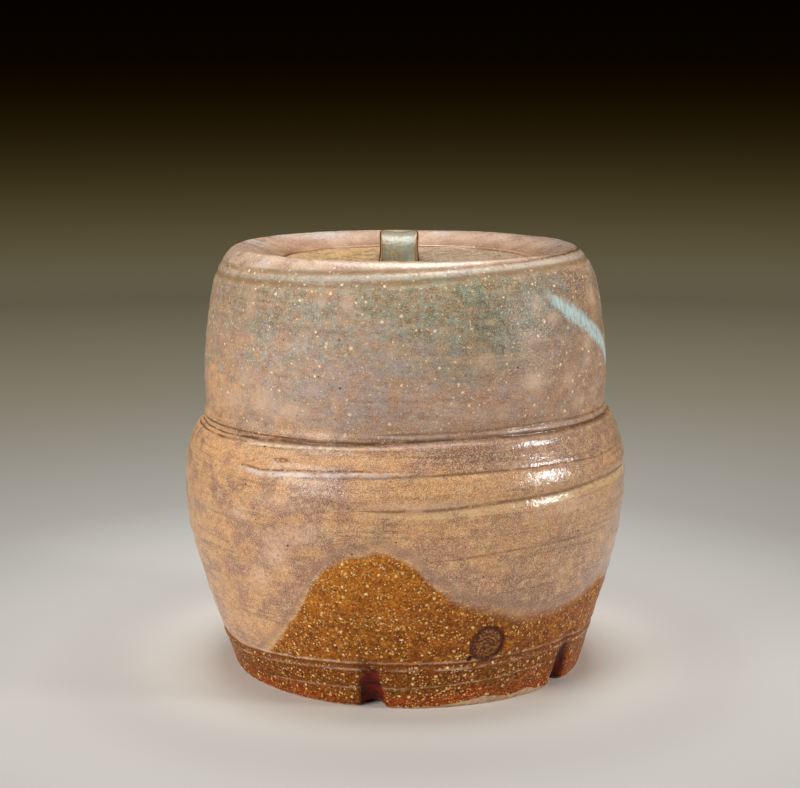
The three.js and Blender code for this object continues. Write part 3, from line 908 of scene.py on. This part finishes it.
# %% Tones
TONES = {
    "ochre": (0.87, 0.46, 0.195), "rose": (0.50, 0.24, 0.15), "mauve": (0.46, 0.30, 0.235),
    "moss": (0.34, 0.33, 0.22), "thick": (0.33, 0.41, 0.35), "peach": (0.64, 0.42, 0.25),
    "iron": (0.14, 0.052, 0.013), "bister": (0.27, 0.16, 0.075), "shell": (0.66, 0.48, 0.34),
    "cream": (0.86, 0.68, 0.46), "pool_and_highlight": (0.50, 0.44, 0.40), "honey": (0.76, 0.27, 0.022),
    "bark": (0.30, 0.07, 0.0), "olive": (0.27, 0.088, 0.0), "rust": (0.42, 0.078, 0.001),
    "maroon": (0.05, 0.004, 0.001), "ember": (0.14, 0.009, 0.001), "buff": (0.58, 0.40, 0.25),
    "splash": (0.56, 0.68, 0.66), "splash_run": (0.38, 0.52, 0.51), "soot": (0.012, 0.009, 0.008),
    "scorch": (0.28, 0.145, 0.08), "blush": (0.42, 0.22, 0.14), "dusk": (0.50, 0.42, 0.40),
    "lilac": (0.44, 0.35, 0.33), "crumb": (0.25, 0.16, 0.06), "sage": (0.36, 0.44, 0.38),
    "apricot": (0.60, 0.31, 0.17), "brick": (0.38, 0.20, 0.11), "toast": (0.42, 0.18, 0.07),
    "russet_and_shade": (0.36, 0.19, 0.135), "straw": (0.84, 0.55, 0.28), "sand": (0.90, 0.68, 0.46),
    "low_bloom_and_sheen": (0.79, 0.52, 0.36), "high_bloom": (0.62, 0.42, 0.29), "crest": (0.52, 0.35, 0.26),
    "pearl": (0.60, 0.54, 0.52), "slope": (0.50, 0.30, 0.18), "slope_brown_and_shade": (0.33, 0.175, 0.09),
    "bead": (0.86, 0.70, 0.52), "milk": (0.66, 0.56, 0.52), "amber": (0.74, 0.50, 0.24),
    "band": (0.50, 0.44, 0.36), "halo": (0.52, 0.25, 0.10), "iron_spot": (0.26, 0.09, 0.02),
    "char": (0.09, 0.03, 0.004), "speck": (0.98, 0.72, 0.36), "rusty_speck": (0.84, 0.42, 0.06),
    "edge": (0.30, 0.17, 0.12), "foot_milk": (0.66, 0.45, 0.33), "foot_dark": (0.13, 0.03, 0.002),
    "brown_buff": (0.42, 0.25, 0.14), "mark_dark": (0.08, 0.016, 0.005), "mark_pale": (0.34, 0.14, 0.035),
    "lid_ochre": (0.52, 0.31, 0.125), "lid_rose": (0.40, 0.27, 0.18), "lid_olive": (0.20, 0.13, 0.045),
    "strap_moss": (0.26, 0.225, 0.13), "strap_grey": (0.19, 0.225, 0.17), "strap_run": (0.22, 0.15, 0.07),
    "strap_side": (0.20, 0.12, 0.045), "strap_edge": (0.07, 0.025, 0.012),
    "mottle_stain": (0.76, 0.68, 0.64), "right_painted_shade_stain": (0.66, 0.68, 0.68),
    "teal_stain": (0.70, 0.95, 0.92), "left_painted_shade_stain": (0.72, 0.70, 0.68),
    "grain_stain": (0.72, 0.67, 0.62), "fine_stain": (0.50, 0.45, 0.40),
    "crest_stain": (0.74, 0.70, 0.66), "crest_fine_stain": (0.60, 0.56, 0.52),
    "hill_stain": (0.42, 0.33, 0.24), "burnt_stain": (0.30, 0.17, 0.10),
    "lid_stain": (0.60, 0.56, 0.52), "strap_stain": (0.75, 0.70, 0.64),
}
print("tones:", len(TONES))

# %% [markdown]
# Each glaze starts in the same way: a new material, and the place on the pot as wires. The three
# small helpers read those wires. A fact is a distance or a spot that was written onto the mesh.

# %% Start a glaze
def new_glaze(name):
    """Makes a material, and hands it back with wires for every way to say where a point is."""
    material = bpy.data.materials.new(name)
    material.use_nodes = True
    here = Wire(add_node(material.node_tree, "ShaderNodeTexCoord", {}).outputs["Object"])
    spot = add_node(material.node_tree, "ShaderNodeGroup", {"Object": here}, node_tree=place_on_pot)
    return material, {"Object": here, **{socket.name: Wire(socket) for socket in spot.outputs}}


def fact(name):
    return PLACE.through("ShaderNodeAttribute", {}, "Fac", attribute_name=name)


def cloud(width, height, seed, centre=0.5, edge=0.15, fray=0.6):
    size = {"Width": width, "Height": height}
    return use(clouds, Place=PLACE, Seed=seed, Centre=centre, Edge=edge, Fray=fray, **size)


def pepper(spacing, radius, chance, seed, softness=0.5):
    size = {"Spacing": spacing, "Radius": radius, "Softness": softness}
    return use(grit, Place=PLACE, Chance=chance, Seed=seed, **size)


jar_glaze, spot = new_glaze("jar_glaze")
PLACE, ANGLE, HEIGHT, SIDE = (spot[name] for name in ("Place", "Angle", "Height", "Side"))

# %% [markdown]
# First the two fields of colour: ochre and rose below the waist, mauve and moss above it. Warmth
# from the mesh and clouds decide between them, so the patches sit where the fire left them, with
# edges that nobody drew. Broad fields are steered by the side, in millimetres to the right of the
# axis, because the angle jumps at the back of the pot and would leave a line there.

# %% Fields of colour
upper = (HEIGHT + cloud(24, 8, 2, edge=0.3) * 10).rise(108, 124)
warmth = fact("warmth") * 0.7 + cloud(20, 11, 1, edge=0.22)
blotches = cloud(9, 8, 5, 0.5, 0.13, fray=0.25) * 0.6
low_field = mix("rose", "ochre", (warmth * 0.75 + blotches).rise(0.3, 1.1))
greenness = (HEIGHT + cloud(30, 16, 4, edge=0.25) * 34).rise(140, 182)
greenness = greenness * SIDE.rise(45, 70, 1, 0.35) * SIDE.rise(-80, -52, 0.45, 1)
right_shoulder = SIDE.rise(45, 68) * cloud(14, 12, 13, 0.42, fray=0.4)
rosy_belt = HEIGHT.rise(116, 124) * HEIGHT.fall(136, 150) * SIDE.rise(-34, 9)
dusk = HEIGHT.fall(150, 165) * SIDE.rise(-70, -51) * SIDE.fall(12, 34)
high_field = coats(
    mix("mauve", "moss", greenness),
    ("ochre", warmth.rise(0.6, 1.5)),
    ("scorch", right_shoulder * 0.75),
    ("blush", rosy_belt * cloud(22, 7, 15, 0.45, fray=0.4) * 0.6),
    ("dusk", dusk * cloud(16, 9, 20, fray=0.4).rise(0, 1, 0.35, 0.75)),
)
colour = low_field.paint(high_field, upper)

# %% [markdown]
# Inside the fields lie smaller patches: green glass where the coat is thick, lilac and sage crumbs,
# and brick or apricot where the clay shows. Each is its own cloud, and its size is the patch's size.

# %% Patches
colour = coats(
    colour,
    ("thick", upper * cloud(12, 8, 6, 0.54, 0.12, fray=0.4) * (greenness + 0.2) * 0.65),
    ("lilac", upper * cloud(8, 6, 7, 0.57, 0.1, fray=0.35) * 0.6),
    ("crumb", upper * cloud(2.6, 2.1, 8, 0.53, 0.08, fray=0.4) * (greenness + 0.15) * 0.6),
    ("sage", upper * cloud(3.6, 2.9, 19, 0.56, 0.1, fray=0.4) * greenness * 0.4),
    ("apricot", upper * cloud(5.4, 4.2, 10, 0.58, 0.09, fray=0.3) * 0.5),
    ("brick", cloud(5.5, 2.6, 11, 0.58, 0.1) * 0.5),
)

# %% [markdown]
# The right flank below the waist is browner and darker. The right end of the waist is a darker russet,
# partly the glaze's colour and partly painted shade that tones down the light there. High on the wall,
# painted shade darkens both sides, where the lamps light it too strongly, with a breath of teal
# between. The soft shades come first, and straw lumps lie on top of them.

# %% Browner right flank and painted shade
teal = SIDE.rise(-22, 6) * SIDE.fall(42, 60) * HEIGHT.rise(126, 142)
colour = coats(
    colour,
    ("toast", SIDE.rise(15, 68) * upper.rise(0, 1, 0.4, 0)),
    # partly the glaze's russet, partly painted shade at the right end of the waist
    ("russet_and_shade", SIDE.rise(5, 35) * HEIGHT.rise(94, 99) * HEIGHT.fall(104, 109) * 0.55),
    ("mottle_stain", cloud(4.6, 3.4, 9, 0.5, 0.2) * 0.55),
    # painted shade high on the right of the wall
    ("right_painted_shade_stain", SIDE.rise(8, 36) * HEIGHT.rise(124, 152) * 0.9),
    ("teal_stain", teal * cloud(15, 9, 23, 0.44, 0.14, fray=0.45) * 0.7),
    # painted shade high on the left of the wall
    ("left_painted_shade_stain", SIDE.fall(-45, -15) * HEIGHT.rise(142, 156) * 0.6),
    ("straw", cloud(3.4, 2.6, 16, 0.58, 0.1) * upper.rise(0, 1, 0.6, 0.25)),
)

# %% [markdown]
# Next what the wheel and the fire drew: brown streaks that run round the pot, soft blooms, and a
# fine grain all over, since this glaze is never a flat colour even over a millimetre. A few of the
# blooms, on the left of the belly, are painted highlight.

# %% Streaks, blooms and grain
streaks = cloud(48, 1.3, 12, 0.58, 0.13) * cloud(26, 9, 14, 0.5, 0.12)
pale_streaks = cloud(50, 1.8, 17, 0.6, 0.12) * cloud(26, 12, 18, 0.5, 0.14)
bloom_and_sheen = (fact("bloom_and_sheen") * cloud(1.6, 1.4, 21, 0.4, 0.25)).lifted(pepper(17, 5.5, 0.3, 22, 0) * 0.5)
grain = cloud(0.9, 0.75, 25, 0.5, 0.2)
fine_grain = cloud(0.42, 0.38, 28, 0.5, 0.12)
colour = coats(
    colour,
    ("iron", streaks * HEIGHT.rise(104, 118, 0.62, 0.16)),
    ("peach", pale_streaks * 0.5),
    ("grain_stain", grain * 0.7),
    ("fine_stain", fine_grain * upper.rise(0, 1, 0.85, 0.36)),
    ("sand", cloud(0.45, 0.4, 29, 0.56, 0.08) * upper.rise(0, 1, 0.5, 0.35)),
    # pale blooms, and on the left of the belly a painted highlight for the lamp's sheen
    (mix("low_bloom_and_sheen", "high_bloom", upper), bloom_and_sheen * 0.95),
)

# %% [markdown]
# Glaze gathers in the bottom of a line and turns dark with iron there. Each seam below uses a
# distance that the mesh carries, broken up by clouds, so that the dark comes and goes along it.

# %% Dark glaze in the thrown lines
BROKEN = cloud(9, 4, 31, 0.47, 0.16)
TORN = cloud(2.4, 1.6, 32, 0.45, 0.1)


def along_lines(colour, mask, *rows):
    """Paints tones along thrown lines, beside each by its offset in millimetres."""
    for name, tone, offset, half_width, softness, strength in rows:
        line = use(seam, Distance=fact(name), Offset=offset, Half_width=half_width, Softness=softness)
        colour = colour.paint(tone, line * mask * strength)
    return colour


colour = along_lines(
    colour, BROKEN.lifted(0.4),
    ("waist_low", "iron", 0.0, 0.1, SIDE.rise(-68, -50, 0.45, 1.5), 1.0),
    ("waist_left", "iron", 0.0, 0.1, 0.5, 0.95),
    ("waist_high", "iron", 0.0, 0.1, 0.8, 0.5),
    ("waist_third", "iron", 0.0, 0.05, 0.5, 0.9),
    ("ring_high", "iron", 0.0, 0.1, 1.1, 0.7),
    ("ring_low", "iron", 0.0, 0.05, 0.8, 0.5),
    ("belly_line", "iron", 0.0, 0.05, 0.8, 0.7),
)

# %% [markdown]
# On the rolled rim the glaze ran thin and turned shell and pearl. The slope down to the lid is browner
# and darker towards the lid, partly painted shade in the hollow between rim and lid. The mesh says
# where the rim is, because a height alone would colour the lip too.

# %% The rolled rim
rolled = fact("rim").either(fact("shoulder_high").rise(0.4, 1.4)) * HEIGHT.rise(160, 163)
# brown patches and painted shade for the inner slope, darkest next to the lid
inner_tone_and_shade = mix("slope", "slope_brown_and_shade", cloud(12, 9, 38, fray=0.3))
crest = coats(
    mix("shell", "crest", cloud(15, 9, 33, 0.5, 0.14, fray=0.4)),
    ("pearl", cloud(20, 10, 35, 0.56, 0.1, fray=0.4) * 0.7),
    ("bister", cloud(7, 4, 37, 0.6, 0.1) * 0.6),
    (inner_tone_and_shade, HEIGHT.fall(169.8, 175.4) * fact("inner_rim")),
    ("crest_stain", grain * 0.7),
    ("crest_fine_stain", fine_grain * 0.6),
)
colour = colour.paint(crest, rolled)
not_rim = 1 - fact("inner_rim")
colour = along_lines(
    colour, BROKEN.lifted(0.4) * not_rim,
    ("shoulder_low", "bister", 0.0, 0.3, 1.6, 0.75), ("shoulder_high", "bister", 0.0, 0.2, 1.3, 0.8),
)
crack = SIDE.rise(37, 51) * not_rim
colour = along_lines(colour, crack, ("shoulder_high", "iron", 0.0, 0.05, 0.5, 0.9))

# %% [markdown]
# A raised bead works the other way: glaze runs off it, so its top is pale. On the beads at the waist
# and the belly this pale tone is partly painted highlight: it lies mostly at the front left, where
# the left lamp catches them, and is torn into short stretches. The pale tone under the high waist
# line is partly painted highlight on its lip too.

# %% Pale glaze and painted highlight on the beads
# the front left, where the left lamp catches the beads; the pale rows here are partly painted highlight
front_left = SIDE.rise(-70, -57, 0, 0.85) * SIDE.rise(-21, 6, 1, 0.15)
colour = along_lines(
    colour, TORN.lifted(0.25) * BROKEN.lifted(0.25),
    ("waist_bead", "bead", 0.6, 0.1, 0.6, front_left),
    ("belly_bead", "iron", 1.3, 0.05, 0.6, front_left),
    ("belly_bead", "milk", -0.2, 0.4, 0.9, front_left),
    ("waist_high", "pool_and_highlight", -1.6, 0.2, 1.1, 0.35),
    ("ring_high", "amber", -2.4, 0.5, 1.6, 0.6),
)
high_band = not_rim * TORN.lifted(0.3)
colour = along_lines(
    colour, high_band, ("shoulder_low", "band", 2.3, 0.4, 1.0, SIDE.rise(-67, -39, 0.1, 0.5)),
)

# %% [markdown]
# Grains of feldspar burst through as pale dots, some inside an orange halo where the iron bled, and
# a few bubbles broke and left black pits. One larger iron spot sits on the waist at the left.

# %% Dots on the wall
sparse = (upper * 0.8 + 0.2) * fact("inner_rim").rise(0, 1, 1, 0.25)
iron_spot = ((ANGLE + 32.3) / 2.6) ** 2 + ((HEIGHT - 99.8) / 1.1) ** 2
colour = coats(
    colour,
    ("halo", pepper(4, 1.5, 0.95, 41, 0) * sparse * 0.6),
    ("cream", pepper(4, 0.88, 0.95, 41, 0.35) * sparse * 0.95),
    ("cream", pepper(1.8, 0.52, 0.8, 44, 0.2) * sparse.either(0.65) * 0.75),
    ("soot", pepper(4.2, 0.52, 0.42, 47) * 0.9),
    ("iron", pepper(2.2, 0.46, 0.6, 49, 0.2) * 0.75),
    ("iron_spot", iron_spot.fall(0.2, 1.6) * cloud(2, 0.7, 51, 0.45)),
)

# %% [markdown]
# A splash of thick blue glass crosses the right shoulder. It starts thin, widens as it falls, and
# its lower edge is combed into short runs.

# %% The splash
fall_line = fact("splash") + cloud(1.3, 12, 54, 0.5, 0.3) * 2.6
splash = (abs(fall_line - 1.2) / ANGLE.rise(40, 54, 1.5, 4.2)).fall(0.35, 1.3)
splash = splash * ANGLE.rise(41, 47) * ANGLE.fall(78, 92) * cloud(3, 3, 57).rise(0, 0.5, 0.6, 1)
colour = colour.paint(mix("splash", "splash_run", cloud(1.1, 9, 58)), splash * 0.9)

# %% [markdown]
# Below the glaze line the clay wears only the ash and the slip: honey brown, darker to the right and
# towards the foot. The line itself wavers by a millimetre or so, and blurs towards the right.

# %% The bare hill
waver = cloud(13, 9, 61, edge=0.35) * 2.4
blur = SIDE.rise(0, 48, 1.2, 4.5)
below_hill = (fact("hill") + waver).fall(blur * -1, blur)
below_foot = fact("foot_line").fall(-0.5, 0.3)
bare = below_hill.either(below_foot)
depth = HEIGHT.rise(20, 66, 0.55, 0) + SIDE.rise(-28, 54, 0, 0.3)
hill = coats(
    mix("honey", "bark", depth.lifted(cloud(7, 4, 63, 0.5, 0.2) * 0.5)),
    ("olive", cloud(13, 8, 66, 0.56, 0.1) * 0.6),
    ("honey", cloud(2.6, 2, 68, 0.57, 0.1) * 0.7),
    ("char", cloud(1.2, 1, 69, 0.57, 0.09) * 0.6),
)

# %% [markdown]
# The foot under its own line goes olive, then rust where the flame licked it, lowest of all.

# %% The foot
rusty = HEIGHT.rise(0, 12, 0.3, -0.3) + cloud(11, 3.4, 71, 0.5, 0.12) * 0.65
rusty = rusty + cloud(2.4, 1.8, 72, 0.5, 0.12) * 0.4
rusty = rusty + fact("foot_ring").fall(-2.5, -0.3) * SIDE.rise(-7, 11) * 0.25
foot = mix("bark", "olive", cloud(9, 3, 74)).paint("rust", rusty.rise(0.4, 1.05))
hill = hill.paint(foot, below_foot)

# %% [markdown]
# Both are full of white grains of feldspar, some stained with rust, between burnt hollows. They are
# what makes this clay look like itself, so they get their own density, size and tone.

# %% Grains in the bare clay
dense = cloud(9, 6, 76, fray=0.4).rise(0, 1, 0.25, 1)
specks = (pepper(1.1, 0.6, 0.9, 75, 0.3) * dense).either(pepper(2.5, 0.9, 0.75, 77, 0.4))
speck_share = fact("foot_line").rise(-3, 1, 0.95, 1) * SIDE.rise(7, 54, 1, 0.85)
speck_tone = mix("speck", "rusty_speck", cloud(1.7, 1.5, 78, 0.5, 0.12))
hill = coats(
    hill,
    ("hill_stain", cloud(0.6, 0.55, 73, 0.5, 0.1) * 0.72),
    ("burnt_stain", fact("foot_line").rise(-3, 1, 0.75, 0.3) * cloud(1.8, 1.2, 70, 0.54, 0.09)),
    (speck_tone, specks * speck_share),
    ("soot", pepper(1.8, 0.5, 0.7, 79, 0.2) * 0.8),
)
colour = colour.paint(hill, bare)
edge_band = use(seam, Distance=fact("hill") + waver, Offset=4.0, Half_width=0.4, Softness=3.0)
colour = colour.paint("edge", edge_band * (1 - bare) * 0.45)

# %% [markdown]
# The foot's double line holds pale glaze on its beads, laid on more strongly at the left as painted
# highlight, where the left lamp catches the upper bead. In the scoops the glaze pooled to a dark
# maroon glass, redder where it is thin. The very edge was wiped clean, and shows the buff clay.

# %% Lines, pools and bare clay at the foot
colour = along_lines(
    colour, BROKEN.lifted(0.05) * TORN.lifted(0.3),
    # pale glaze on the upper bead, stronger at the left as painted highlight
    ("foot_line", "foot_milk", 1.2, 0.25, 0.6, SIDE.rise(-27, -11, 1, 0.55)),
    ("foot_bead", "foot_milk", 0.0, 0.1, 0.7, 0.5),
    ("foot_ring", "foot_milk", 0.7, 0.05, 0.7, 0.5),
)
colour = along_lines(colour, 1.0, ("foot_line", "foot_dark", 0.0, 0.05, 0.7, 0.8))
pooled = (fact("scoop") + cloud(3, 2.4, 83, edge=0.3)).rise(0.7, 2.3)
pool_tone = mix("maroon", "ember", cloud(5, 4, 85, 0.53, 0.12))
colour = colour.paint(pool_tone, pooled * HEIGHT.rise(0.5, 1.2))
wiped = (fact("bare_edge") - cloud(5, 5, 87, edge=0.35) * 1.2).fall(-0.75, -0.25)
colour = colour.paint(mix("buff", "brown_buff", cloud(3, 3, 89)), wiped)

# %% [markdown]
# The pressed mark is edged by a dark ring of glaze, and brown inside, and a black pit lies beside it.

# %% Mark and pit
mark_floor = mix("mark_dark", "mark_pale", cloud(1, 0.9, 91, 0.52, 0.1))
colour = colour.paint(mark_floor, fact("mark").fall(0.85, 1) * 0.95)
colour = along_lines(colour, 1.0, ("mark", "maroon", 0.92, 0.06, 0.13, 0.8))
colour = colour.paint("soot", fact("pit").fall(0.75, 1.1))

# %% [markdown]
# Gloss follows thickness: the pale coat is shiny, the bare part half matt, and the wiped clay dull.
# The shader's coat is the layer of glass over the colour. It lies thick on the right, and thin on the
# left, on the bare clay and high on the wall, where the fire left the glaze drier.

# %% Gloss of the jar
SHINE = 0.2
GLASS_ROUGHNESS = 0.15
gloss = coats(mix(0.36, 0.46, cloud(6, 4, 93, edge=0.2)), (0.24, rolled), (0.52, bare), (0.85, wiped))
high_wall = upper * fact("shoulder_low").fall(-2, 1)
glass_share = bare.rise(0, 1, 0.9, 0.08) * wiped.fall(0, 1) * high_wall.rise(0, 1, 1, 0.08)
glass_share = glass_share * SIDE.rise(-18, 18, 0.4, 1)

# %% [markdown]
# The bump adds the skin of the glaze, its small step over the bare clay, and the grains. The glass
# has a gentler skin of its own, made of two plain noises, so that it mirrors a lamp in few patches.
# It is built straight from the object's coordinates, in metres, so the noise scales are large.

# %% Relief of the jar
STEP, GRAIN_RISE = 0.16, 0.16


def bumped(height):
    """Turns a height in millimetres into a normal."""
    return height.through("ShaderNodeBump", {"Height": height, "Distance": METRES, "Strength": 1.0})


def put_on(piece, material, **wires):
    """Joins the wires to the shader's sockets and puts the material on its piece."""
    shader = material.node_tree.nodes["Principled BSDF"]
    for label, wire in wires.items():
        material.node_tree.links.new(wire.socket, shader.inputs[label.replace("_", " ")])
    piece.data.materials.append(material)
    print(material.name, "nodes:", len(material.node_tree.nodes))
    return shader


relief = use(skin, Place=PLACE, Run=1.0, Grain=bare.rise(0, 1, 1.1, 1.8))
relief = relief + (1 - bare) * STEP + specks * bare * GRAIN_RISE
ripple, sandy = (
    PLACE.through("ShaderNodeTexNoise", {"Vector": spot["Object"], "Scale": scale, "Detail": 3.0}, "Fac")
    for scale in (480.0, 1900.0)
)
shader = put_on(
    jar_body, jar_glaze, Base_Color=colour, Roughness=gloss, Normal=bumped(relief),
    Coat_Weight=glass_share, Coat_Normal=bumped(ripple * 0.28 + sandy * 0.06),
)
shader.inputs["Specular IOR Level"].default_value = SHINE
shader.inputs["Coat Roughness"].default_value = GLASS_ROUGHNESS

# %% [markdown]
# The lid has the same clay with a thicker, sandier coat: ochre on the left, a greyer rose on the
# right, full of bright grains, with patches of olive.

# %% Lid glaze
lid_glaze, spot = new_glaze("lid_glaze")
PLACE, SIDE = spot["Place"], spot["Side"]
drift = SIDE + cloud(16, 12, 1, edge=0.22, fray=0.45) * 30
sparkle = pepper(2, 0.62, 0.8, 7, 0.3).either(pepper(1.1, 0.5, 0.7, 8, 0.2))
colour = coats(
    mix("lid_ochre", "lid_rose", drift.rise(-6, 26)),
    ("lid_olive", cloud(6, 6, 3, 0.55, 0.09) * 0.7),
    ("lid_stain", cloud(1.2, 1.2, 5) * 0.75),
    ("cream", sparkle * 0.85),
    ("iron", pepper(2.3, 0.5, 0.6, 9, 0.3) * 0.75),
)
relief = use(skin, Place=PLACE, Run=1.4, Grain=1.6)
relief = relief + cloud(2.6, 2.6, 13, edge=0.35) * 0.5 + sparkle * 0.15
gloss = mix(0.18, 0.38, cloud(7, 7, 11, edge=0.25))
put_on(lid_disc, lid_glaze, Base_Color=colour, Roughness=gloss, Normal=bumped(relief))

# %% [markdown]
# The strap is the greenest part: glaze lay thick in its dish and ran off its edges, which burned to
# a dark iron brown. How far a point is from the middle of the strap gives both.

# %% Knob glaze
knob_glaze, spot = new_glaze("knob_glaze")
PLACE, SIDE = spot["Place"], spot["Side"]
from_middle = abs(SIDE - STRAP["aside"]) + cloud(2.5, 4, 1, edge=0.3) * 0.7
colour = coats(
    mix("strap_moss", "strap_grey", cloud(3, 7, 3, 0.5, 0.14)),
    ("strap_run", cloud(1, 9, 5, 0.54, 0.1) * 0.7),
    ("strap_side", from_middle.rise(5.2, 7.4, 0, 0.9)),
    ("strap_edge", from_middle.rise(7.5, 8.1)),
    ("cream", pepper(3.6, 0.5, 0.3, 7) * 0.6),
    ("strap_stain", cloud(0.9, 0.9, 9, 0.5, 0.2) * 0.5),
)
gloss = mix(0.16, 0.30, cloud(3, 5, 11, edge=0.25))
relief = use(skin, Place=PLACE, Run=0.9, Grain=0.4)
put_on(lid_strap, knob_glaze, Base_Color=colour, Roughness=gloss, Normal=bumped(relief))

# %% [markdown]
# Each piece now stands for its solid: it rides on the same body, takes its finish from the same
# slot of the record, and the solid steps back to its work in collisions, hidden.

# %% Put the pieces in the place of the solids
for piece, node, body, slot in (
    (jar_body, "jar", "jar", "jar_glaze"),
    (lid_disc, "lid", "lid", "lid_clay"),
    (lid_strap, "lid_knob", "lid", "knob_glaze"),
):
    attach(piece, body)
    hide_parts(node)

# %% [markdown]
# A photographer stands a pot on a sheet of paper that curves up behind it, so that no edge shows.
# Here the sheet is turned round the pot like a shallow bowl, and looks the same from every side. It
# is thrown on the same wheel as the jar, in millimetres.

# %% Paper sweep
FLOOR_REACH, SWEEP, WALL_TOP = 1250, 500, 1100
sweep_line = [(0, 0), (300, 0), (700, 0), (FLOOR_REACH, 0)]
for step in range(1, 13):
    turn = radians(90 * step / 12)
    sweep_line.append((FLOOR_REACH + SWEEP * sin(turn), SWEEP * (1 - cos(turn))))
sweep_line.append((FLOOR_REACH + SWEEP, WALL_TOP))
paper_sweep = finished("paper_sweep", thrown(sweep_line, 96))

# %% [markdown]
# The floor is pale, with painted light and shade round the pot: painted light lifts the shadow just
# round the foot, and painted shade darkens the floor a little further out, where the lamps light it
# most. The wall darkens upwards as painted shade, as the far end of the paper does when the lamps
# stand close to the pot. A ramp over the way along the paper gives that, outwards and then up.

# %% Colour of the paper
PAPER_LENGTH = 2.4
PAPER_LIGHT_AND_SHADE = [
    # metres along the paper, colour
    # painted light at the foot, painted shade a little further out, and painted shade up the wall
    (0.07, (0.95, 0.89, 0.80)), (0.12, (0.33, 0.315, 0.295)), (0.17, (0.44, 0.42, 0.395)),
    (0.30, (0.25, 0.241, 0.222)), (0.67, (0.205, 0.185, 0.133)), (1.33, (0.26, 0.225, 0.138)),
    (1.55, (0.13, 0.103, 0.04)), (1.75, (0.024, 0.013, 0.001)), (1.95, (0.001, 0.0, 0.0)),
]
paper, spot = new_glaze("paper")
PLACE, HEIGHT = spot["Place"], spot["Height"]
flat = PLACE.vector("MULTIPLY", (1, 1, 0))
outwards = flat.through("ShaderNodeVectorMath", {0: flat}, "Value", operation="LENGTH")
travel = (outwards + HEIGHT) * (METRES / PAPER_LENGTH)
ramp = add_node(paper.node_tree, "ShaderNodeValToRGB", {"Fac": travel})
ramp.color_ramp.interpolation = "B_SPLINE"
stops = ramp.color_ramp.elements
stops[1].color = (0, 0, 0, 1)
for reach, tone in PAPER_LIGHT_AND_SHADE:
    stops.new(reach / PAPER_LENGTH).color = (*tone, 1)
stops[0].color = stops[1].color
shader = put_on(paper_sweep, paper, Base_Color=Wire(ramp.outputs["Color"]))
shader.inputs["Roughness"].default_value = 0.9
shader.inputs["Specular IOR Level"].default_value = 0.0

# %% [markdown]
# Three soft lamps: a wide one at the front left, a small one at the right, whose mirror image is the
# highlight on the belly, and a broad one overhead that lights the crest of the rim. They are hidden
# from the camera, so that no view shows one, but the glaze still mirrors them.

# %% Lamps
def soft_lamp(name, place, wide, tall, power):
    """A lamp of this size in metres and power in watts, turned to the middle of the jar."""
    lamp = bpy.data.lights.new(name, "AREA")
    lamp.shape = "RECTANGLE"
    lamp.size, lamp.size_y = wide, tall
    lamp.energy = power
    lamp_object = bpy.data.objects.new(name, lamp)
    lamp_object.location = place
    lamp_object.rotation_euler = (JAR_MIDDLE - Vector(place)).to_track_quat("-Z", "Y").to_euler()
    lamp_object.visible_camera = False
    scene.collection.objects.link(lamp_object)
    print(name, "gives", power, "W")


JAR_MIDDLE = Vector((0, 0, 0.09))
soft_lamp("left_lamp", (-1.16, -0.96, 0.50), 0.8, 0.7, 20)
soft_lamp("right_lamp", (1.42, -0.39, 0.38), 0.26, 0.32, 14)
soft_lamp("top_lamp", (0, 0.12, 0.97), 0.62, 0.58, 10.5)

# %% [markdown]
# The room itself gives an even, weak light from all sides, which keeps the shadows open.

# %% Light of the room
ROOM_GREY, ROOM_STRENGTH = (0.8, 0.8, 0.8, 1), 0.44
world = bpy.data.worlds.new("world")
world.use_nodes = True
world.node_tree.nodes["Background"].inputs["Color"].default_value = ROOM_GREY
world.node_tree.nodes["Background"].inputs["Strength"].default_value = ROOM_STRENGTH
scene.world = world
print("room light:", ROOM_STRENGTH)
